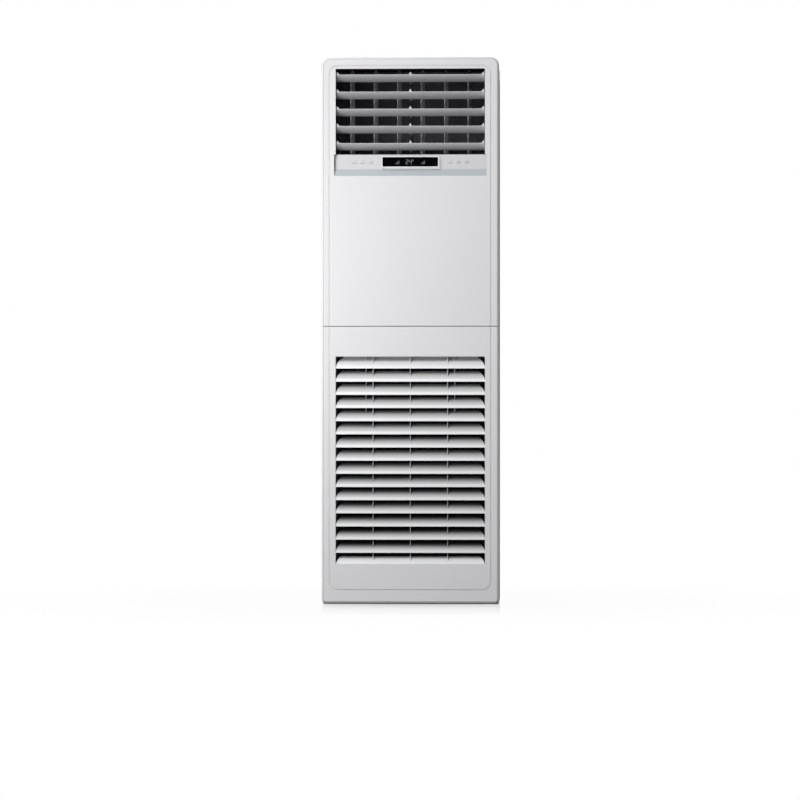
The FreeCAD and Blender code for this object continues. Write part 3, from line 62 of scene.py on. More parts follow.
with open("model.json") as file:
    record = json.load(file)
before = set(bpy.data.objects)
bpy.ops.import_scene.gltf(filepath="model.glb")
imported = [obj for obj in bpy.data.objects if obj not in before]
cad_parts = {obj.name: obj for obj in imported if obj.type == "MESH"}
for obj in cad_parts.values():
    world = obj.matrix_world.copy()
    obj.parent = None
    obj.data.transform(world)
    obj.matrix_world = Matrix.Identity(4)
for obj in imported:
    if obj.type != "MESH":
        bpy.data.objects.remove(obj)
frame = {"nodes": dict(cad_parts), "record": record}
CAD_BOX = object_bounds()
MM = 0.001
WHITE = (1.0, 1.0, 1.0, 1.0)

# Points closer than this become one, and edges sharper than this stay sharp
SAME_POINT = 0.001 * MM
SHARP_EDGE = math.radians(35.0)
# Directions along a quarter turn, for rounded corners and bends
QUARTER_TURN = np.linspace(0.0, math.pi / 2, 9)

# The photograph's frame and where the unit stands in it, in pixels
PHOTO_PX = 800
TOP_PX = 57.0
FOOT_PX = 604.5
MIDDLE_PX = 410.2
# Width of the camera's sensor in millimetres, and how far it sees in metres
SENSOR_MM = 36.0
SIGHT = 200.0


def length(name, description, size_mm):
    """A length that can be set, with its default in millimetres."""
    return FloatProperty(name=name, description=description, default=size_mm * MM, unit="LENGTH")


def hex_colour(name, description, code):
    """A colour that can be set, as sRGB hex digits."""
    return StringProperty(name=name, description=description, default=code)


class CabinetColours(bpy.types.PropertyGroup):
    """Colours of the finishes that show from outside, as sRGB hex values."""

    front_abs: hex_colour("Front mouldings", "Satin white of the two front panels", "E8E8E8")
    steel_paint: hex_colour("Cabinet paint", "Powder coat of the sheet cabinet", "C6C7CA")
    strip_abs: hex_colour("Control strip", "Control strip and keys", "D8D8DB")
    rim_abs: hex_colour("Display rim", "Rim round the display window", "F4F4F6")
    vane_abs: hex_colour("Vanes", "Horizontal outlet vanes", "C8C8C9")
    ledge_abs: hex_colour("Ledge", "Sloping ledge under the control strip", "B1B7BA")
    # The edge line is a grey bead that stands for the shadow in the seam round the front: painted shade
    seam_shadow_abs: hex_colour("Edge line", "Fine line round the edges of the front", "C2C2C4")
    duct_abs: hex_colour("Outlet duct", "Duct and links", "070708")
    # The blades' front edges are darkened from this colour by painted shade
    blade_abs: hex_colour("Blades", "Upright blades behind the vanes, clean", "C8C8CC")
    window: hex_colour("Display window", "Tinted display window", "030304")
    segment: hex_colour("Display marks", "Lit marks on the display", "9FB6C6")
    ink: hex_colour("Printed marks", "Ink of the marks on the keys", "8E9096")


class TrimSizes(bpy.types.PropertyGroup):
    """Sizes of the small pieces that are added to the solids, and of the painted shade on the slats."""

    rim_width: length("Rim width", "Width of the rim round the display window", 3.4)
    rim_height: length("Rim height", "Rim in front of the control strip", 1.2)
    mark_height: length("Mark height", "Thickness of printed and lit marks", 0.12)
    digit_height: length("Digit height", "Height of a display digit", 14.0)
    key_mark: length("Key mark", "Half the height of the mark on a key", 2.6)
    # Where the painted shade on the slats lies: the intake's half width and heights, the highest slat, the height
    # where the shade towards the floor is full, and the slats' depth
    intake_half: length("Intake half width", "Half the width of the air intake", 252.5)
    intake_low: length("Intake low", "Floor to the lowest slat that gathers dust", 162.0)
    intake_high: length("Intake high", "Floor to the top of the air intake", 838.0)
    top_slat: length("Top slat", "Floor to the lip of the highest slat", 796.0)
    full_shade_level: length("Painted shade level", "Floor to where the settled dust is full", 260.0)
    slat_depth: length("Slat depth", "Front face to the backs of the slats", 35.0)
    edge_inset: length("Edge inset", "Side of the front to the fine line along it", 6.6)
    edge_width: length("Edge width", "Width of the fine line along the edges", 2.4)
    corner: length("Corner", "Radius of the front's upper corners", 28.0)
    ledge_height: length("Ledge height", "Height of the ledge under the control strip", 22.0)
    tab_height: length("Tab height", "Height of the tabs on a vane", 12.0)
    tab_width: length("Tab width", "Width of a vane tab at its foot", 15.0)
    tab_thick: length("Tab thickness", "Thickness of a vane tab", 2.4)
    tab_lean: FloatProperty(name="Tab lean", description="Lean of the vane tabs to the back",
                            default=math.radians(14.0), subtype="ANGLE")
    screw_radius: length("Screw head", "Radius of a screw head", 4.0)
    screw_recess: length("Screw recess", "Depth of a screw head's cross recess", 1.2)


class StudioSettings(bpy.types.PropertyGroup):
    """Camera, floor and soft light."""

    distance: FloatProperty(name="Distance", description="Camera to the front face", default=14.0, unit="LENGTH")
    azimuth: FloatProperty(name="Azimuth", description="Camera to the right of straight ahead",
                           default=math.radians(2.2), subtype="ANGLE")
    key_power: FloatProperty(name="Key lamp", description="Soft lamp close by, front left", default=7.4, unit="POWER")
    main_power: FloatProperty(name="Main lamp", description="Large soft lamp, high in front", default=132.0,
                              unit="POWER")
    back_power: FloatProperty(name="Back lamp", description="Large soft lamp, high behind", default=70.0,
                              unit="POWER")
    ambient: FloatProperty(name="Ambient", description="Light from all round at eye level", default=0.25, min=0.0)
    ambient_lift: FloatProperty(name="Lift", description="Added share of light from straight above", default=2.0,
                                min=0.0)
    ambient_side: FloatProperty(name="Sides", description="Share of light taken away at both sides",
                                default=0.65, min=0.0, max=1.0, subtype="FACTOR")
    ambient_shift: FloatProperty(name="Shift", description="Share of light moved from the right to the left",
                                 default=0.35, min=0.0, max=1.0, subtype="FACTOR")
    ambient_tint: hex_colour("Tint", "Colour of the light from all round", "F3F3FB")
    floor_paint: hex_colour("Floor paint", "Floor where it throws light back at the unit", "8C8C8E")
    floor_reflection: FloatProperty(name="Floor reflection", description="Share of mirror reflection in the floor",
                                    default=0.35, min=0.0, max=1.0, subtype="FACTOR")


# Shared helpers
def linear(code, share=1.0):
    """sRGB hex digits to linear red, green, blue and alpha, with red, green and blue times share."""
    srgb = np.array([int(code[i:i + 2], 16) for i in (0, 2, 4)]) / 255.0
    low, high = srgb / 12.92, ((srgb + 0.055) / 1.055) ** 2.4
    return (*np.where(srgb <= 0.04045, low, high) * share, 1.0)


def per_metre(size_mm):
    """Texture scale on metres that gives features of about size_mm."""
    return 1.0 / (size_mm * MM)


def feed(tree, target, inputs):
    """Gives each named socket of a node a value, or a link from (node, output)."""
    for socket, amount in inputs.items():
        if isinstance(amount, tuple) and isinstance(amount[0], bpy.types.Node):
            tree.links.new(amount[0].outputs[amount[1]], target.inputs[socket])
        else:
            target.inputs[socket].default_value = amount


def node(tree, kind, inputs=None, stops=(), **settings):
    """Adds one shader node. inputs are its sockets as for feed, stops the (place, colour) pairs of a colour ramp,
    and settings its own options."""
    made = tree.nodes.new("ShaderNode" + kind)
    for option, amount in settings.items():
        setattr(made, option, amount)
    for at, (place, colour) in enumerate(stops):
        marks = made.color_ramp.elements
        mark = marks[at] if at < len(marks) else marks.new(place)
        mark.position, mark.color = place, colour
    feed(tree, made, inputs or {})
    return made


def empty_tree(owner):
    """The node tree of a material or world, with nothing in it."""
    owner.use_nodes = True
    owner.node_tree.nodes.clear()
    return owner.node_tree


def new_material(name, **constants):
    """A material with its shader, and its Object coordinates to link from; constants are socket names with spaces
    as underscores."""
    material = bpy.data.materials.new(name)
    tree = empty_tree(material)
    values = {socket.replace("_", " "): amount for socket, amount in constants.items()}
    shader = node(tree, "BsdfPrincipled", values)
    node(tree, "OutputMaterial", {"Surface": (shader, "BSDF")})
    return material, tree, shader, (node(tree, "TexCoord"), "Object")


def finished(material, shader, tones=None, gloss=None, bump=None):
    """Links to the shader what a material has of tones, gloss and bump."""
    sources = {"Base Color": (tones, "Color"), "Roughness": (gloss, "Result"), "Normal": (bump, "Normal")}
    feed(material.node_tree, shader, {socket: given for socket, given in sources.items() if given[0] is not None})
    return material


def mesh_piece(name, grid, material, body):
    """A mesh object at the origin from whole arrays of vertices and quads, riding on a body. Points that fall
    together at poles are merged, faces are turned outwards, and edges sharper than SHARP_EDGE stay sharp."""
    vertices, faces = grid
    mesh = bpy.data.meshes.new(name)
    mesh.from_pydata(vertices.reshape(-1, 3).tolist(), [], faces.tolist())
    build = bmesh.new()
    build.from_mesh(mesh)
    bmesh.ops.remove_doubles(build, verts=build.verts, dist=SAME_POINT)
    bmesh.ops.recalc_face_normals(build, faces=build.faces)
    build.to_mesh(mesh)
    build.free()
    mesh.polygons.foreach_set("use_smooth", np.full(len(mesh.polygons), True))
    mesh.set_sharp_from_angle(angle=SHARP_EDGE)
    mesh.materials.append(material)
    piece = bpy.data.objects.new(name, mesh)
    bpy.context.scene.collection.objects.link(piece)
    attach(piece, body)
    return piece


def grid_faces(rows, columns, closed_rows=False, closed_columns=False):
    """Quads of a grid of rows by columns points; a closed direction joins its last line to its first."""
    r = np.arange(rows if closed_rows else rows - 1)[:, None]
    c = np.arange(columns if closed_columns else columns - 1)[None, :]
    after_r, after_c = (r + 1) % rows, (c + 1) % columns
    corners = (r * columns + c, r * columns + after_c, after_r * columns + after_c, after_r * columns + c)
    return np.stack(np.broadcast_arrays(*corners), axis=-1).reshape(-1, 4)


def tube(rings):
    """Closed rings joined in order, with each end drawn together at the middle of its ring."""
    first = np.broadcast_to(rings[:1].mean(axis=1, keepdims=True), rings[:1].shape)
    last = np.broadcast_to(rings[-1:].mean(axis=1, keepdims=True), rings[-1:].shape)
    rows = np.concatenate([first, rings, last])
    return rows, grid_faces(*rows.shape[:2], closed_columns=True)


def joined(grids):
    """Several (vertices, faces) pairs as one."""
    starts = np.cumsum([0] + [len(v.reshape(-1, 3)) for v, _ in grids[:-1]])
    vertices = np.concatenate([v.reshape(-1, 3) for v, _ in grids])
    faces = np.concatenate([f + start for (_, f), start in zip(grids, starts)])
    return vertices, faces


def stroke(start, end, half_width, face_y, height):
    """One printed stroke on a face that looks towards -Y: a bar from start to end (x, z) with pointed ends. Its
    six-sided outline is repeated at the face and at height in front of it."""
    start, end = np.array(start), np.array(end)
    along = (end - start) / np.linalg.norm(end - start) * half_width
    aside = np.array([-along[1], along[0]])
    ring = np.array([start - along, start + aside, end + aside, end + along, end - aside, start - aside])
    depth = np.array([face_y, face_y - height])
    rings = np.empty((2, 6, 3))
    rings[:, :, 0], rings[:, :, 1], rings[:, :, 2] = ring[:, 0], depth[:, None], ring[:, 1]
    return tube(rings)


def strokes(pairs, middle, scale, half_width, face_y, height):
    """Strokes whose ends are given in units of scale round middle (x, z), as one grid."""
    places = np.array(pairs) * scale + np.array(middle)
    return joined([stroke(start, end, half_width, face_y, height) for start, end in places])


# Materials, each named for the real one and how its surface was made
def moulded_abs(name, shade, rough=0.5, grain_mm=1.6, depth_mm=0.06, tone=0.02, sheen=0.5):
    """Injection moulded ABS from a spark-eroded tool: an even satin with a very fine pebble, and a faint drift
    of tone where the melt cooled at different rates. The pebble is drawn coarser than the real 0.1 mm so that
    it shows in close views."""
    material, tree, shader, place = new_material(name, IOR=1.53, Specular_IOR_Level=sheen)
    drift = node(tree, "TexNoise", {"Vector": place, "Scale": per_metre(260), "Detail": 2.0})
    tones = node(tree, "ValToRGB", {"Fac": (drift, "Fac")},
                 stops=((0, linear(shade, 1 - tone)), (1, linear(shade, 1 + tone))))
    pebble = node(tree, "TexNoise", {"Vector": place, "Scale": per_metre(grain_mm), "Detail": 3.0})
    gloss = node(tree, "MapRange", {"Value": (pebble, "Fac"), "To Min": rough - 0.05, "To Max": rough + 0.05})
    bump = node(tree, "Bump", {"Height": (pebble, "Fac"), "Strength": 0.35, "Distance": depth_mm * MM})
    return finished(material, shader, tones, gloss, bump)


# How the front panels, and the smoother control strip with its keys, come out of their tools
FRONT_SKIN = {"rough": 0.42, "depth_mm": 0.05, "tone": 0.012}
STRIP_SKIN = {"rough": 0.38, "grain_mm": 1.4, "depth_mm": 0.04, "tone": 0.012}


def film_over(material, film, cover=1.0, blend_type="MULTIPLY"):
    """Lays a film over a material's base colour. The film and how far it covers are values or (node, output)."""
    tree = material.node_tree
    shader = next(each for each in tree.nodes if each.type == "BSDF_PRINCIPLED")
    under = shader.inputs["Base Color"].links[0].from_node
    mixed = node(tree, "MixRGB", {"Fac": cover, "Color1": (under, "Color"), "Color2": film}, blend_type=blend_type)
    feed(tree, shader, {"Base Color": (mixed, "Color")})
    return material


def corner_painted_shade(material, reach_mm=60.0, kept=0.8):
    """Painted shade in the corners of a moulding: its colour falls to the share kept where other surfaces close in
    within reach_mm."""
    tree = material.node_tree
    open_share = node(tree, "AmbientOcclusion", {"Distance": reach_mm * MM}, samples=8, only_local=True)
    share = node(tree, "MapRange", {"Value": (open_share, "AO"), "To Min": kept, "To Max": 1.0})
    return film_over(material, (share, "Result"))


def blade_edge_painted_shade(material, front, reach_mm=3.0, kept=0.35):
    """Painted shade on the leading edges of the blades: the colour falls to the share kept at their fronts and is
    full again reach_mm behind."""
    tree = material.node_tree
    parts = node(tree, "SeparateXYZ", {"Vector": (node(tree, "TexCoord"), "Object")})
    share = node(tree, "MapRange", {"Value": (parts, "Y"), "From Min": front,
                                    "From Max": front + reach_mm * MM, "To Min": kept, "To Max": 1.0})
    return film_over(material, (share, "Result"))


# Painted shade on the slats and a painted highlight on their lips: places from front to back as shares of their
# depth, each with the share of colour kept there
SLAT_DEPTH_SHADE_AND_LIP_HIGHLIGHT = ((0.11, 1.1), (0.15, 0.84), (1.0, 0.28))
LOW_SLAT_SHADE = ((0.08, 0.82), (0.17, 0.78), (0.4, 0.28), (0.7, 0.15))
# How far the painted shade of the slats' depth covers the highest slat, and the height over which it becomes full
# below
TOP_SLAT_SHADE_COVER = 0.4
TOP_SLAT_SHADE_FADE = 5.0 * MM


def slat_painted_shade(material, trim, front):
    """Painted shade on the slats of the intake, with a painted highlight on their lips. Inside the opening the colour
    is raised on the front lips and falls from there to the slats' backs, less on the highest slat. A second film of
    painted shade behind the lips grows towards the floor."""
    tree = material.node_tree
    parts = node(tree, "SeparateXYZ", {"Vector": (node(tree, "TexCoord"), "Object")})
    across = node(tree, "Math", {0: (parts, "X"), 1: 0.0, 2: trim.intake_half}, operation="COMPARE")
    middle, half = (trim.intake_high + trim.intake_low) / 2, (trim.intake_high - trim.intake_low) / 2
    upright = node(tree, "Math", {0: (parts, "Z"), 1: middle, 2: half}, operation="COMPARE")
    inside = node(tree, "Math", {0: (across, "Value"), 1: (upright, "Value")}, operation="MULTIPLY")
    depth = node(tree, "MapRange", {"Value": (parts, "Y"), "From Min": front, "From Max": front + trim.slat_depth})
    # The first film is the painted shade of the slats' depth with its lip highlight, the second the painted shade
    # towards the floor
    films = ((trim.top_slat, TOP_SLAT_SHADE_COVER, trim.top_slat - TOP_SLAT_SHADE_FADE, SLAT_DEPTH_SHADE_AND_LIP_HIGHLIGHT),
             (trim.intake_high, 0.0, trim.full_shade_level, LOW_SLAT_SHADE))
    for high, least, low, kept in films:
        shade_growth = node(tree, "MapRange", {"Value": (parts, "Z"), "From Min": low, "From Max": high,
                                           "To Min": 1.0, "To Max": least})
        cover = node(tree, "Math", {0: (inside, "Value"), 1: (shade_growth, "Result")}, operation="MULTIPLY")
        film = node(tree, "ValToRGB", {"Fac": (depth, "Result")},
                    stops=[(place, (share, share, share, 1)) for place, share in kept])
        film_over(material, (film, "Color"), (cover, "Value"))
    return material


def ledged_moulding(name, shade, ledge_shade, high):
    """Moulded ABS whose lower part, below the height high, is grey: the ledge meets the strip in a crisp line."""
    material = moulded_abs(name, shade, **STRIP_SKIN)
    tree = material.node_tree
    parts = node(tree, "SeparateXYZ", {"Vector": (node(tree, "TexCoord"), "Object")})
    below = node(tree, "Math", {0: (parts, "Z"), 1: high}, operation="LESS_THAN")
    return film_over(material, linear(ledge_shade), (below, "Value"), blend_type="MIX")


def powder_coat(name, shade):
    """Baked polyester powder on sheet steel: a matt skin with soft orange peel about 3 mm across."""
    material, tree, shader, place = new_material(name, IOR=1.5, Specular_IOR_Level=0.0)
    cloud = node(tree, "TexNoise", {"Vector": place, "Scale": per_metre(180), "Detail": 3.0})
    tones = node(tree, "ValToRGB", {"Fac": (cloud, "Fac")},
                 stops=((0, linear(shade, 0.97)), (1, linear(shade, 1.02))))
    peel = node(tree, "TexNoise", {"Vector": place, "Scale": per_metre(3), "Detail": 1.0})
    gloss = node(tree, "MapRange", {"Value": (peel, "Fac"), "To Min": 0.68, "To Max": 0.8})
    bump = node(tree, "Bump", {"Height": (peel, "Fac"), "Strength": 0.3, "Distance": 0.08 * MM})
    return finished(material, shader, tones, gloss, bump)


def galvanised_sheet(name):
    """Hot-dip galvanised steel: grey metal with crystal spangle about 9 mm across, each with its own tone."""
    material, tree, shader, place = new_material(name, Metallic=1.0)
    spangle = node(tree, "TexVoronoi", {"Vector": place, "Scale": per_metre(9)})
    tones = node(tree, "ValToRGB", {"Fac": (spangle, "Color")}, stops=((0, linear("8F9296")), (1, linear("BFC2C5"))))
    gloss = node(tree, "MapRange", {"Value": (spangle, "Distance"), "To Min": 0.34, "To Max": 0.55})
    return finished(material, shader, tones, gloss)


def drawn_metal(name, light, dark, along, line_mm=0.8, rough=0.32):
    """Drawn or rolled bare metal: fine lines along the draw direction, with faint tarnish in cloudy patches."""
    material, tree, shader, place = new_material(name, Metallic=1.0)
    stretch = [per_metre(line_mm)] * 3
    stretch["XYZ".index(along)] = per_metre(60)
    lines_place = node(tree, "Mapping", {"Vector": place, "Scale": stretch})
    lines = node(tree, "TexNoise", {"Vector": (lines_place, "Vector"), "Scale": 1.0, "Detail": 2.0})
    tarnish = node(tree, "TexNoise", {"Vector": place, "Scale": per_metre(35), "Detail": 3.0})
    tones = node(tree, "ValToRGB", {"Fac": (tarnish, "Fac")}, stops=((0, linear(dark)), (1, linear(light))))
    gloss = node(tree, "MapRange", {"Value": (lines, "Fac"), "To Min": rough - 0.08, "To Max": rough + 0.08})
    bump = node(tree, "Bump", {"Height": (lines, "Fac"), "Strength": 0.2, "Distance": 0.05 * MM})
    return finished(material, shader, tones, gloss, bump)


def cast_enamel(name, shade):
    """Dipped enamel over a rough casting: dark, half gloss, with a lumpy skin about 4 mm across."""
    material, tree, shader, place = new_material(name, Base_Color=linear(shade), IOR=1.5)
    lumps = node(tree, "TexNoise", {"Vector": place, "Scale": per_metre(4), "Detail": 4.0})
    gloss = node(tree, "MapRange", {"Value": (lumps, "Fac"), "To Min": 0.35, "To Max": 0.6})
    bump = node(tree, "Bump", {"Height": (lumps, "Fac"), "Strength": 0.5, "Distance": 0.3 * MM})
    return finished(material, shader, gloss=gloss, bump=bump)


def woven_net(name):
    """Woven nylon filter net: crossing threads with open holes between them. The real 0.8 mm spacing is drawn
    at 3 mm so that the weave shows."""
    material, tree, shader, place = new_material(name, IOR=1.53, Roughness=0.6, Specular_IOR_Level=0.05)
    spacing = per_metre(3) * math.tau
    parts = node(tree, "SeparateXYZ", {"Vector": place})
    waves = []
    for axis in ("X", "Z"):
        angle = node(tree, "Math", {0: (parts, axis), 1: spacing}, operation="MULTIPLY")
        waves.append(node(tree, "Math", {0: (angle, "Value")}, operation="COSINE"))
    thread = node(tree, "Math", {0: (waves[0], "Value"), 1: (waves[1], "Value")}, operation="MAXIMUM")
    tones = node(tree, "ValToRGB", {"Fac": (thread, "Value")},
                 stops=((0.45, linear("030303")), (0.75, linear("121214"))))
    bump = node(tree, "Bump", {"Height": (thread, "Value"), "Strength": 0.6, "Distance": 0.3 * MM})
    return finished(material, shader, tones, bump=bump)


def tinted_acrylic(name, shade):
    """Cast acrylic with a dark smoke tint and a hard anti-glare coat: near black, with a weak clear gloss and faint
    swirl from wiping."""
    material, tree, shader, place = new_material(name, Base_Color=linear(shade), IOR=1.49, Specular_IOR_Level=0.02)
    swirl = node(tree, "TexNoise", {"Vector": place, "Scale": per_metre(12), "Detail": 4.0, "Distortion": 1.5})
    gloss = node(tree, "MapRange", {"Value": (swirl, "Fac"), "To Min": 0.06, "To Max": 0.16})
    return finished(material, shader, gloss=gloss)


def solder_mask(name):
    """Glass-epoxy circuit board under green solder mask, with paler tracks about 1.5 mm apart."""
    material, tree, shader, place = new_material(name, IOR=1.55, Roughness=0.3)
    tracks = node(tree, "TexBrick", {"Vector": place, "Scale": per_metre(3),
                                     "Color1": linear("1C5A2C"), "Color2": linear("18502A"),
                                     "Mortar": linear("2E7A40")})
    return finished(material, shader, tracks)


def nitrile_rubber(name):
    """Moulded nitrile rubber: black, dull, with a bloom of grey dust and a fine grain."""
    material, tree, shader, place = new_material(name, IOR=1.52)
    bloom = node(tree, "TexNoise", {"Vector": place, "Scale": per_metre(6), "Detail": 4.0})
    tones = node(tree, "ValToRGB", {"Fac": (bloom, "Fac")}, stops=((0, linear("141414")), (1, linear("2B2B2C"))))
    gloss = node(tree, "MapRange", {"Value": (bloom, "Fac"), "To Min": 0.6, "To Max": 0.85})
    return finished(material, shader, tones, gloss)


def closed_cell_foam(name):
    """Cut polyethylene foam sheet: grey and dull, with cells about 2 mm across that catch a little light."""
    material, tree, shader, place = new_material(name, IOR=1.45, Roughness=0.9, Specular_IOR_Level=0.2)
    cells = node(tree, "TexVoronoi", {"Vector": place, "Scale": per_metre(2)})
    tones = node(tree, "ValToRGB", {"Fac": (cells, "Distance")}, stops=((0, linear("5E5E64")), (1, linear("8A8A92"))))
    bump = node(tree, "Bump", {"Height": (cells, "Distance"), "Strength": 0.5, "Distance": 0.4 * MM})
    return finished(material, shader, tones, bump=bump)


def screen_ink(name, shade):
    """Screen printed ink: a thin matt film, slightly uneven at the mesh of the screen."""
    material, tree, shader, place = new_material(name, IOR=1.5, Roughness=0.7)
    mesh = node(tree, "TexNoise", {"Vector": place, "Scale": per_metre(0.8), "Detail": 2.0})
    tones = node(tree, "ValToRGB", {"Fac": (mesh, "Fac")}, stops=((0, linear(shade, 0.9)), (1, linear(shade, 1.1))))
    return finished(material, shader, tones)


def lit_segment(name, shade):
    """A display segment lit from behind through diffusing film: a dim glow, uneven by the film's grain."""
    material, tree, shader, place = new_material(name, Roughness=0.5, Emission_Color=linear(shade),
                                                 Emission_Strength=0.25)
    film = node(tree, "TexNoise", {"Vector": place, "Scale": per_metre(1.5), "Detail": 2.0})
    tones = node(tree, "ValToRGB", {"Fac": (film, "Fac")}, stops=((0, linear(shade, 0.2)), (1, linear(shade, 0.35))))
    return finished(material, shader, tones)


class FANCOIL_OT_finishes(bpy.types.Operator):
    """Give every solid of the frame the finish of its real material"""

    bl_idname = "fan_coil.finishes"
    bl_label = "Finishes"

    def execute(self, context):
        colours, trim = context.scene.fan_coil_colours, context.scene.fan_coil_trim
        blade = moulded_abs("moulded_blade_abs", colours.blade_abs, rough=0.45, tone=0.04)
        by_slot = {
            "painted_steel": powder_coat("powder_coated_sheet_steel", colours.steel_paint),
            # The front mouldings take painted shade in their corners
            "white_abs": corner_painted_shade(moulded_abs("moulded_white_abs", colours.front_abs, **FRONT_SKIN)),
            "vane_grey": moulded_abs("moulded_grey_abs", colours.vane_abs, rough=0.4, grain_mm=1.4, depth_mm=0.05),
            "duct_black": moulded_abs("moulded_black_abs", colours.duct_abs, rough=0.6, tone=0.1, sheen=0.1),
            # The blades' front edges take painted shade
            "blade_grey": blade_edge_painted_shade(blade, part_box("upright_blade_1")[0].y),
            "liner_foam": closed_cell_foam("closed_cell_foam"),
            "display_black": tinted_acrylic("smoked_acrylic", colours.window),
            "board_green": solder_mask("solder_masked_board"),
            "galvanised": galvanised_sheet("galvanised_sheet"),
            "catch_plastic": moulded_abs("moulded_grey_nylon", "4A4A4D"),
            "motor_metal": cast_enamel("enamelled_casting", "2A2B2E"),
            "shaft_steel": drawn_metal("ground_steel", "C8CACC", "9DA0A3", along="Y", rough=0.28),
            "blower_plastic": moulded_abs("moulded_glass_filled_nylon", "26272A", rough=0.6, grain_mm=2.0,
                                          depth_mm=0.1, tone=0.08),
            "fin_aluminium": drawn_metal("coated_aluminium_fin", "5E6266", "44484B", along="Z", rough=0.45),
            "copper": drawn_metal("drawn_copper", "D08A5C", "8E5230", along="Y"),
            "drain_plastic": moulded_abs("moulded_polystyrene", "C4C4C0", grain_mm=1.8),
            "grommet_rubber": nitrile_rubber("moulded_nitrile_rubber"),
            "filter_plastic": moulded_abs("moulded_filter_frame", "18191B", rough=0.55, tone=0.06),
            "filter_net": woven_net("woven_nylon_net"),
            "terminal_plastic": moulded_abs("moulded_terminal_nylon", "E2DCC8", grain_mm=1.4),
        }
        strip = moulded_abs("moulded_strip_abs", colours.strip_abs, **STRIP_SKIN)
        own = {name: strip for name in frame["nodes"] if name.startswith("button_")}
        own["control_panel"] = ledged_moulding("moulded_two_shot_abs", colours.strip_abs, colours.ledge_abs,
                                               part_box("control_panel")[0].z + trim.ledge_height)
        # The intake panel takes painted shade in its corners and on its slats, and a painted highlight on the slats'
        # lips
        front = moulded_abs("moulded_intake_abs", colours.front_abs, **FRONT_SKIN)
        own["intake_panel"] = slat_painted_shade(corner_painted_shade(front), trim, CAD_BOX[0].y)
        for part in frame["record"]["subparts"]:
            solid = frame["nodes"][part["node"]]
            solid.data.materials.clear()
            solid.data.materials.append(own.get(part["node"]) or by_slot[part["material_slot"]])
        return {"FINISHED"}


class FANCOIL_OT_display(bpy.types.Operator):
    """Add the rim round the display window and the lit marks on it"""

    bl_idname = "fan_coil.display"
    bl_label = "Display"

    def execute(self, context):
        trim, colours = context.scene.fan_coil_trim, context.scene.fan_coil_colours
        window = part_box("display_window")
        strip_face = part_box("control_panel")[0].y
        white = moulded_abs("moulded_rim_abs", colours.rim_abs, rough=0.3, grain_mm=1.2, depth_mm=0.03, tone=0.01)
        mesh_piece("display_rim", window_rim(window, strip_face, trim), white, "cabinet")
        glow = lit_segment("lit_display_film", colours.segment)
        mesh_piece("display_marks", display_strokes(window, trim), glow, "cabinet")
        return {"FINISHED"}


def window_rim(window, strip_face, trim):
    """A bead carried round a rounded rectangle. The path is four corner centres, each with a quarter turn of
    directions; the bead's section is a half round whose distance from the centres grows across the rim and whose
    height in front of the strip is a steep sine, cut off flat at the rim's height."""
    low, high = window
    corner, gap, sunk, steep = 3.0 * MM, 0.15 * MM, 0.2 * MM, 1.4
    angle = (QUARTER_TURN[None, :] + np.arange(4)[:, None] * math.pi / 2).ravel()
    left, right, foot, top = low.x + corner, high.x - corner, low.z + corner, high.z - corner
    centre_x = np.repeat([right, left, left, right], len(QUARTER_TURN))
    centre_z = np.repeat([top, top, foot, foot], len(QUARTER_TURN))
    bead = np.linspace(0.0, math.tau, 16, endpoint=False)
    reach = corner + gap + trim.rim_width * (0.5 + 0.5 * np.cos(bead))
    front = strip_face + sunk - (trim.rim_height + sunk) * np.clip(np.sin(bead) * steep, 0.0, 1.0)
    x = centre_x[:, None] + reach[None, :] * np.cos(angle)[:, None]
    z = centre_z[:, None] + reach[None, :] * np.sin(angle)[:, None]
    y = np.broadcast_to(front[None, :], x.shape)
    return np.stack([x, y, z], axis=-1), grid_faces(len(angle), len(bead), closed_rows=True, closed_columns=True)


# Strokes in a cell one unit wide and two high: the seven segments of a digit, a small square and four rising bars
SEGMENTS = {"a": ((-0.5, 1), (0.5, 1)), "b": ((0.5, 1), (0.5, 0)), "c": ((0.5, 0), (0.5, -1)),
            "d": ((-0.5, -1), (0.5, -1)), "e": ((-0.5, 0), (-0.5, -1)), "f": ((-0.5, 1), (-0.5, 0)),
            "g": ((-0.5, 0), (0.5, 0))}
DEGREE = [((-0.25, 1), (0.25, 1)), ((0.25, 1), (0.25, 0.5)),
          ((-0.25, 0.5), (0.25, 0.5)), ((-0.25, 1), (-0.25, 0.5))]
LEVEL = [((n * 0.5, -1), (n * 0.5, -0.6 + 0.4 * n)) for n in range(4)]
# What the display shows: place from its middle in half digit heights, half the width of a stroke, and the strokes
DISPLAY = ((-1.6, 0.8 * MM, [SEGMENTS[letter] for letter in "abged"]),
           (0.0, 0.8 * MM, [SEGMENTS[letter] for letter in "fgbc"]),
           (1.2, 0.64 * MM, DEGREE), (5.4, 0.64 * MM, LEVEL), (-7.0, 0.64 * MM, LEVEL))


def display_strokes(window, trim):
    """Two digits and a small square at the middle of the window, and a row of rising bars at either side: pointed
    strokes on the window's front face."""
    low, high = window
    scale = trim.digit_height / 2
    middle_z = (low.z + high.z) / 2
    return joined([strokes(pairs, (place * scale, middle_z), scale, half_width, low.y, trim.mark_height)
                   for place, half_width, pairs in DISPLAY])


class FANCOIL_OT_key_marks(bpy.types.Operator):
    """Print a plain mark on each key"""

    bl_idname = "fan_coil.key_marks"
    bl_label = "Key Marks"

    def execute(self, context):
        trim, colours = context.scene.fan_coil_trim, context.scene.fan_coil_colours
        ink = screen_ink("screen_printed_ink", colours.ink)
        for key, pairs in KEY_STROKES.items():
            low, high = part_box(key)
            middle = ((low.x + high.x) / 2, (low.z + high.z) / 2)
            grid = strokes(pairs, middle, trim.key_mark, KEY_LINE, low.y, trim.mark_height)
            mesh_piece(key + "_mark", grid, ink, key + "_key")
        return {"FINISHED"}


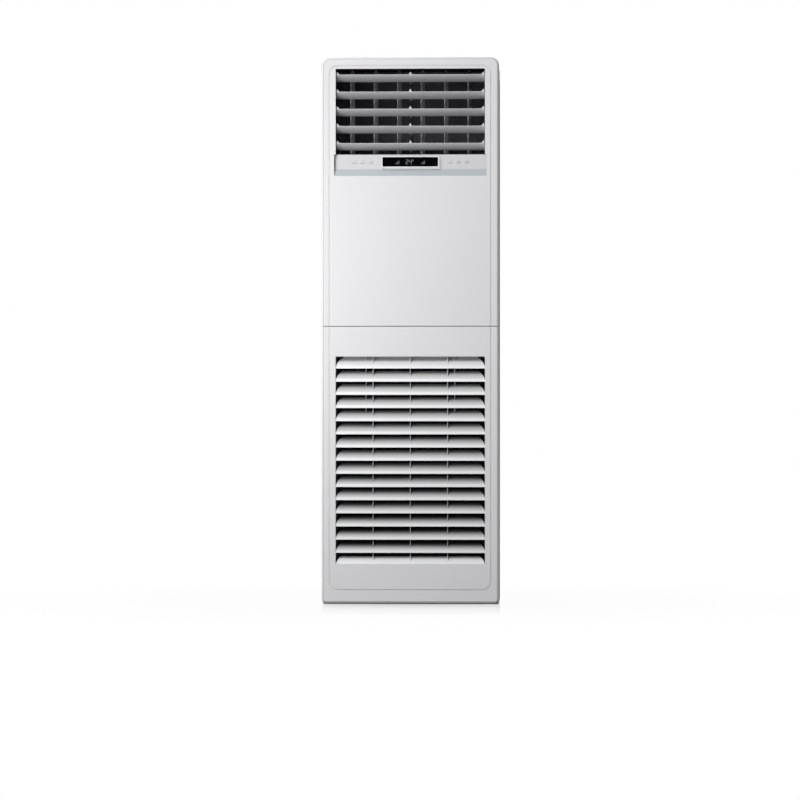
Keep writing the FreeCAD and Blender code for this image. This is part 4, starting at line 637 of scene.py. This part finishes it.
def around(count, start_deg, end_deg):
    """Strokes end to end along a unit circle between two angles."""
    angle = np.radians(np.linspace(start_deg, end_deg, count + 1))
    points = np.stack([np.cos(angle), np.sin(angle)], axis=-1)
    return list(zip(points[:-1].tolist(), points[1:].tolist()))


# Half the width of a printed line, and a mark for each key: on and off, rise, fall, speed, swing and timer
KEY_LINE = 0.35 * MM
KEY_STROKES = {
    "button_left_1": around(10, 120, 420) + [((0, 0.2), (0, 1.1))],
    "button_left_2": [((-0.9, -0.4), (0, 0.6)), ((0, 0.6), (0.9, -0.4))],
    "button_left_3": [((-0.9, 0.4), (0, -0.6)), ((0, -0.6), (0.9, 0.4))],
    "button_right_1": [((-1, -0.8), (-1, -0.4)), ((0, -0.8), (0, 0.2)), ((1, -0.8), (1, 0.8))],
    "button_right_2": [((-1.2, 0.7), (1.2, 0.7)), ((-1.2, 0), (1.2, 0)), ((-1.2, -0.7), (1.2, -0.7))],
    "button_right_3": around(12, 0, 360) + [((0, 0), (0, 0.6)), ((0, 0), (0.5, 0))],
}


class FANCOIL_OT_vane_tabs(bpy.types.Operator):
    """Add the pointed tabs that stand on the front edge of each horizontal vane"""

    bl_idname = "fan_coil.vane_tabs"
    bl_label = "Vane Tabs"

    def execute(self, context):
        trim = context.scene.fan_coil_trim
        for vane in sorted(name for name in frame["nodes"] if name.startswith("horizontal_vane_")):
            number = vane.removeprefix("horizontal_vane_")
            grey = frame["nodes"][vane].data.materials[0]
            mesh_piece(f"vane_tabs_{number}", vane_tabs(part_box(vane), trim), grey, f"vane_{number}")
        return {"FINISHED"}


def vane_tabs(vane, trim):
    """Three fins on the front edge of a vane, at its middle and near its ends. Each is a four-sided section carried
    up along a line that leans back: its width falls by the taper times the height to the power 0.7, and its
    thickness by half. The end fins lean outwards, so that their outer sides stand upright."""
    low, high = vane
    end_gap, sunk, taper = 8.0 * MM, 3.0 * MM, 0.86
    half = high.x - end_gap
    rise = np.linspace(0.0, 1.0, 8)
    foot = np.array([low.y + trim.tab_thick, high.z - sunk])
    up = np.array([math.sin(trim.tab_lean), math.cos(trim.tab_lean)])
    width = trim.tab_width * (1.0 - taper * rise ** 0.7)
    thick = trim.tab_thick * (1.0 - 0.5 * rise)
    grids = []
    for x, lean in ((0.0, 0.0), (-half + trim.tab_width / 2, -1.0), (half - trim.tab_width / 2, 1.0)):
        middle = x + lean * (trim.tab_width - width) / 2
        across = np.array([-0.5, 0.5, 0.5, -0.5])[None, :] * width[:, None]
        along = np.array([-0.5, -0.5, 0.5, 0.5])[None, :] * thick[:, None]
        lift = rise * trim.tab_height
        y = foot[0] + lift[:, None] * up[0] + along * up[1]
        z = foot[1] + lift[:, None] * up[1] - along * up[0]
        grids.append(tube(np.stack([middle[:, None] + across, y, z], axis=-1)))
    return joined(grids)


class FANCOIL_OT_seam_shadow_lines(bpy.types.Operator):
    """Add the fine grey line that follows the edges of both front panels: painted shade for the shadow in their seams
    """

    bl_idname = "fan_coil.edge_lines"
    bl_label = "Edge Lines"

    def execute(self, context):
        trim, colours = context.scene.fan_coil_trim, context.scene.fan_coil_colours
        grey = moulded_abs("moulded_edge_abs", colours.seam_shadow_abs, depth_mm=0.04)
        upper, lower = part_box("upper_front_panel"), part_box("intake_panel")
        rounded = edge_path(upper[1].x, upper[0].z, upper[1].z, trim.corner, trim.edge_inset)
        square = edge_path(lower[1].x, lower[1].z, lower[0].z, trim.edge_inset * 2, trim.edge_inset)
        mesh_piece("edge_line_upper", seam_shadow_line(rounded, upper[0].y, trim), grey, "cabinet")
        mesh_piece("edge_line_lower", seam_shadow_line(square, lower[0].y, trim), grey, "intake_door")
        return {"FINISHED"}


def edge_path(side, start, end, radius, inset):
    """Points (x, z) along the left side from start to end, across, and back along the right side: straight runs and
    two quarter turns of the outline's radius, all moved in by inset."""
    way = 1.0 if end > start else -1.0
    bend = radius - inset
    x = np.append(side - inset, side - inset - bend * (1.0 - np.cos(QUARTER_TURN)))
    z = np.append(start, end - way * (inset + bend * (1.0 - np.sin(QUARTER_TURN))))
    return np.stack([np.concatenate([-x, x[::-1]]), np.concatenate([z, z[::-1]])], axis=-1)


# A grey bead where the shadow of the seam round the front falls: painted shade
def seam_shadow_line(path, face, trim):
    """A low bead carried along a path on the front face: at each point its section, a hump of five points with a
    point behind the face, lies across the direction from the point before to the point after."""
    along = np.gradient(path, axis=0)
    along /= np.linalg.norm(along, axis=1, keepdims=True)
    across = np.stack([-along[:, 1], along[:, 0]], axis=-1)
    sunk = 0.15 * MM
    spread = np.array([-0.5, -0.25, 0.0, 0.25, 0.5, 0.0]) * trim.edge_width
    raised = np.array([0.0, 0.4, 0.5, 0.4, 0.0, -0.6]) * MM
    rings = np.empty((len(path), 6, 3))
    rings[:, :, 0] = path[:, :1] + across[:, :1] * spread
    rings[:, :, 1] = face + sunk - raised
    rings[:, :, 2] = path[:, 1:] + across[:, 1:] * spread
    return tube(rings)


class FANCOIL_OT_cover_liner(bpy.types.Operator):
    """Add the foam sheet inside the top cover"""

    bl_idname = "fan_coil.cover_liner"
    bl_label = "Cover Liner"

    def execute(self, context):
        foam = frame["nodes"]["foam_liner"].data.materials[0]
        grid = cover_liner(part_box("top_cover"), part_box("outlet_duct"))
        mesh_piece("cover_liner", grid, foam, "cabinet")
        return {"FINISHED"}


def cover_liner(cover, duct):
    """A bent sheet carried across the width: its section runs up inside the cover's back and forward under its roof,
    with a round bend between, and comes back at the sheet's thickness."""
    low, high = cover
    thick, wall, bend, foot_gap, side_gap = 3.0 * MM, 3.5 * MM, 9.0 * MM, 1.0 * MM, 14.0 * MM
    back, roof, foot = high.y - wall, high.z - wall, low.z + foot_gap
    faces = []
    for inward in (0.0, thick):
        y = back - bend + (bend - inward) * np.cos(QUARTER_TURN)
        z = roof - bend + (bend - inward) * np.sin(QUARTER_TURN)
        faces.append(np.array([(back - inward, foot), *zip(y, z), (duct[1].y, roof - inward)]))
    ring = np.concatenate([faces[0], faces[1][::-1]])
    across = np.array([low.x + side_gap, high.x - side_gap])
    rings = np.empty((2, len(ring), 3))
    rings[:, :, 0], rings[:, :, 1:] = across[:, None], ring[None, :, :]
    return tube(rings)


# Screws along each side of the back
SCREWS_PER_SIDE = 5
# The cross recess of a screw in head radii: half the width and the reach of its bars, and how far their sides and
# ends slope
CROSS_HALF, CROSS_REACH = 0.17, 0.62
SIDE_SLOPE, END_SLOPE = 0.05, 0.12


class FANCOIL_OT_screws(bpy.types.Operator):
    """Add the cross-recessed screws that hold the back"""

    bl_idname = "fan_coil.screws"
    bl_label = "Screws"

    def execute(self, context):
        trim = context.scene.fan_coil_trim
        low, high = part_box("cabinet_screws")
        inset = trim.screw_radius
        x, z = np.meshgrid([low.x + inset, high.x - inset],
                           np.linspace(low.z + inset, high.z - inset, SCREWS_PER_SIDE))
        heads = [pan_head((a, b), low.y, high.y, trim) for a, b in zip(x.ravel(), z.ravel())]
        plated = drawn_metal("zinc_plated_screw", "B9BDC2", "8D9196", along="Y", line_mm=0.5)
        piece = mesh_piece("screw_heads", joined(heads), plated, "cabinet")
        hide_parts("cabinet_screws")
        return {"FINISHED"}


def pan_head(middle, tip, crown, trim):
    """A pan head screw about the Y axis, as rings times spokes. A profile of radius and depth runs from the shank's
    tip over the head to its crown; where a point lies inside a cross of two tapering bars, the crown sinks by the
    recess depth."""
    head = trim.screw_radius
    point, upright = 0.6 * MM, 0.35
    seat = crown - head * 0.5
    dome = np.linspace(0.0, math.pi / 2, 14)
    shank = [tip, tip + point, seat, seat]
    radius = np.concatenate([[0.2, 0.5, 0.5, 1.0], np.cos(dome)]) * head
    depth = np.concatenate([shank, seat + (crown - seat) * (upright + (1.0 - upright) * np.sin(dome))])
    angle = np.linspace(0.0, math.tau, 48, endpoint=False)
    x, z = radius[:, None] * np.cos(angle), radius[:, None] * np.sin(angle)
    arm = np.minimum(np.abs(x), np.abs(z))
    reach = np.maximum(np.abs(x), np.abs(z))
    between = np.clip((CROSS_HALF * head - arm) / (SIDE_SLOPE * head), 0, 1)
    within = np.clip((CROSS_REACH * head - reach) / (END_SLOPE * head), 0, 1)
    on_crown = (np.arange(len(radius)) > len(shank))[:, None]
    y = depth[:, None] - trim.screw_recess * between * within * on_crown
    return tube(np.stack([middle[0] + x, y, middle[1] + z], axis=-1))


# Soft boxes: name, setting with the power, width, place and the point they face, in metres
LAMPS = (("key_lamp", "key_power", 0.9, (-0.9, -1.15, 1.1), (0.0, 0.0, 1.0)),
         ("main_lamp", "main_power", 1.5, (-1.8, -3.45, 4.2), (0.0, 0.0, 0.9)),
         ("back_lamp", "back_power", 1.5, (-0.9, 3.6, 2.6), (0.0, 0.0, 0.9)))
# The floor disc, in metres and counts
FLOOR_RADIUS, FLOOR_RINGS, FLOOR_SPOKES = 30.0, 12, 64
# Distances from the unit's middle over which the reflection fades out and the floor turns from nearly to fully white
REFLECTION_FADE = (0.2, 0.9)
WHITE_FADE = (0.3, 1.6)
NEARLY_WHITE = 0.96


class FANCOIL_OT_stage(bpy.types.Operator):
    """Make the pale floor, the soft light, the even surround and the camera at the photograph's angle"""

    bl_idname = "fan_coil.stage"
    bl_label = "Stage"

    def execute(self, context):
        studio = context.scene.fan_coil_studio
        pale_floor(studio)
        surround(context.scene, studio)
        for name, power, width, place, target in LAMPS:
            soft_lamp(name, getattr(studio, power), width, Vector(place), Vector(target))
        photo_camera(context.scene, studio)
        context.scene.view_settings.view_transform = "Standard"
        return {"FINISHED"}


def seen_share(tree):
    """1 for rays that come from the camera, a mirror or glass, and 0 for light that bounces."""
    path = node(tree, "LightPath")
    direct = node(tree, "Math", {0: (path, "Is Camera Ray"), 1: (path, "Is Glossy Ray")}, operation="MAXIMUM")
    return node(tree, "Math", {0: (direct, "Value"), 1: (path, "Is Transmission Ray")}, operation="MAXIMUM")


def pale_floor(studio):
    """A flat disc under the unit, as rings times spokes: radius grows along one parameter and the angle along the
    other."""
    radius = np.linspace(0.0, FLOOR_RADIUS, FLOOR_RINGS)[:, None]
    angle = np.linspace(0.0, math.tau, FLOOR_SPOKES, endpoint=False)[None, :]
    points = np.stack(np.broadcast_arrays(radius * np.cos(angle), radius * np.sin(angle), 0.0), axis=-1)
    faces = grid_faces(FLOOR_RINGS, FLOOR_SPOKES, closed_columns=True)
    mesh = bpy.data.meshes.new("studio_floor")
    mesh.from_pydata(points.reshape(-1, 3).tolist(), [], faces.tolist())
    mesh.validate()
    floor = bpy.data.objects.new("studio_floor", mesh)
    bpy.context.scene.collection.objects.link(floor)
    material = bpy.data.materials.new("pale_painted_floor")
    tree = empty_tree(material)
    matt = node(tree, "BsdfDiffuse", {"Color": linear(studio.floor_paint)})
    mirror = node(tree, "BsdfGlossy", {"Color": WHITE, "Roughness": 0.1})
    white = node(tree, "Emission", {"Color": WHITE, "Strength": 1.0})
    away = node(tree, "VectorMath", {0: (node(tree, "TexCoord"), "Object")}, operation="LENGTH")
    gloss = node(tree, "MapRange", {"Value": (away, "Value"), "From Min": REFLECTION_FADE[0],
                                    "From Max": REFLECTION_FADE[1],
                                    "To Min": studio.floor_reflection, "To Max": 0.0})
    polished = node(tree, "MixShader", {"Fac": (gloss, "Result"), 1: (white, "Emission"), 2: (mirror, "BSDF")})
    whiteness = node(tree, "MapRange", {"Value": (away, "Value"), "From Min": WHITE_FADE[0],
                                        "From Max": WHITE_FADE[1],
                                        "To Min": NEARLY_WHITE, "To Max": 1.0})
    share = node(tree, "Math", {0: (seen_share(tree), "Value"), 1: (whiteness, "Result")}, operation="MULTIPLY")
    shown = node(tree, "MixShader", {"Fac": (share, "Value"), 1: (matt, "BSDF"), 2: (polished, "Shader")})
    node(tree, "OutputMaterial", {"Surface": (shown, "Shader")})
    mesh.materials.append(material)


def surround(scene, studio):
    """White where it is seen. Where it lights, a soft dome whose strength grows with the height of the direction
    and falls towards both sides, more to the right."""
    world = bpy.data.worlds.new("studio_surround")
    scene.world = world
    tree = empty_tree(world)
    white = node(tree, "Background", {"Color": WHITE, "Strength": 1.0})
    parts = node(tree, "SeparateXYZ", {"Vector": (node(tree, "TexCoord"), "Generated")})
    above = node(tree, "Math", {0: (parts, "Z"), 1: studio.ambient_lift, 2: 1.0}, operation="MULTIPLY_ADD")
    aside = node(tree, "Math", {0: (parts, "X")}, operation="ABSOLUTE")
    flags = node(tree, "Math", {0: (aside, "Value"), 1: -studio.ambient_side, 2: 1.0}, operation="MULTIPLY_ADD")
    beside = node(tree, "Math", {0: (parts, "X"), 1: -studio.ambient_shift, 2: (flags, "Value")},
                  operation="MULTIPLY_ADD")
    dome = node(tree, "Math", {0: (above, "Value"), 1: (beside, "Value")}, operation="MULTIPLY")
    level = node(tree, "Math", {0: (dome, "Value"), 1: studio.ambient}, operation="MULTIPLY")
    soft = node(tree, "Background", {"Color": linear(studio.ambient_tint), "Strength": (level, "Value")})
    mixed = node(tree, "MixShader", {"Fac": (seen_share(tree), "Value"), 1: (soft, "Background"),
                                     2: (white, "Background")})
    node(tree, "OutputWorld", {"Surface": (mixed, "Shader")})


def soft_lamp(name, power, size, place, target):
    """A square soft box at place, facing target."""
    data = bpy.data.lights.new(name, "AREA")
    data.energy = power
    data.size = size
    lamp = bpy.data.objects.new(name, data)
    lamp.location = place
    lamp.rotation_euler = (target - place).to_track_quat("-Z", "Y").to_euler()
    bpy.context.scene.collection.objects.link(lamp)


def photo_camera(scene, studio):
    """A long lens aimed at the point of the front face that lies at the middle of the photograph."""
    low, high = CAD_BOX
    per_px = (high.z - low.z) / (FOOT_PX - TOP_PX)
    centre_px = PHOTO_PX / 2
    aim = Vector(((centre_px - MIDDLE_PX) * per_px, low.y, (FOOT_PX - centre_px) * per_px))
    back = Vector((math.sin(studio.azimuth), -math.cos(studio.azimuth), 0))
    data = bpy.data.cameras.new("photo_camera")
    data.sensor_width = SENSOR_MM
    data.lens = SENSOR_MM * studio.distance / (PHOTO_PX * per_px)
    data.clip_end = SIGHT
    camera = bpy.data.objects.new("photo_camera", data)
    camera.location = aim + back * studio.distance
    camera.rotation_euler = (-back).to_track_quat("-Z", "Y").to_euler()
    scene.collection.objects.link(camera)
    scene.camera = camera


class FANCOIL_PT_panel(bpy.types.Panel):
    """Sidebar panel that lists the steps"""

    bl_label = "Fan Coil"
    bl_idname = "FANCOIL_PT_panel"
    bl_space_type = "VIEW_3D"
    bl_region_type = "UI"
    bl_category = "Fan Coil"

    def draw(self, context):
        for step in STEPS:
            self.layout.operator(step.bl_idname)


STEPS = (FANCOIL_OT_finishes, FANCOIL_OT_display, FANCOIL_OT_key_marks, FANCOIL_OT_vane_tabs,
         FANCOIL_OT_seam_shadow_lines, FANCOIL_OT_cover_liner, FANCOIL_OT_screws, FANCOIL_OT_stage)
CLASSES = (CabinetColours, TrimSizes, StudioSettings, *STEPS, FANCOIL_PT_panel)


def register():
    for each in CLASSES:
        bpy.utils.register_class(each)
    bpy.types.Scene.fan_coil_colours = PointerProperty(type=CabinetColours)
    bpy.types.Scene.fan_coil_trim = PointerProperty(type=TrimSizes)
    bpy.types.Scene.fan_coil_studio = PointerProperty(type=StudioSettings)


def unregister():
    del bpy.types.Scene.fan_coil_studio
    del bpy.types.Scene.fan_coil_trim
    del bpy.types.Scene.fan_coil_colours
    for each in reversed(CLASSES):
        bpy.utils.unregister_class(each)


def main():
    register()
    bpy.ops.fan_coil.finishes()
    bpy.ops.fan_coil.display()
    bpy.ops.fan_coil.key_marks()
    bpy.ops.fan_coil.vane_tabs()
    bpy.ops.fan_coil.edge_lines()
    bpy.ops.fan_coil.cover_liner()
    bpy.ops.fan_coil.screws()
    bpy.ops.fan_coil.stage()


if __name__ == "__main__":
    main()
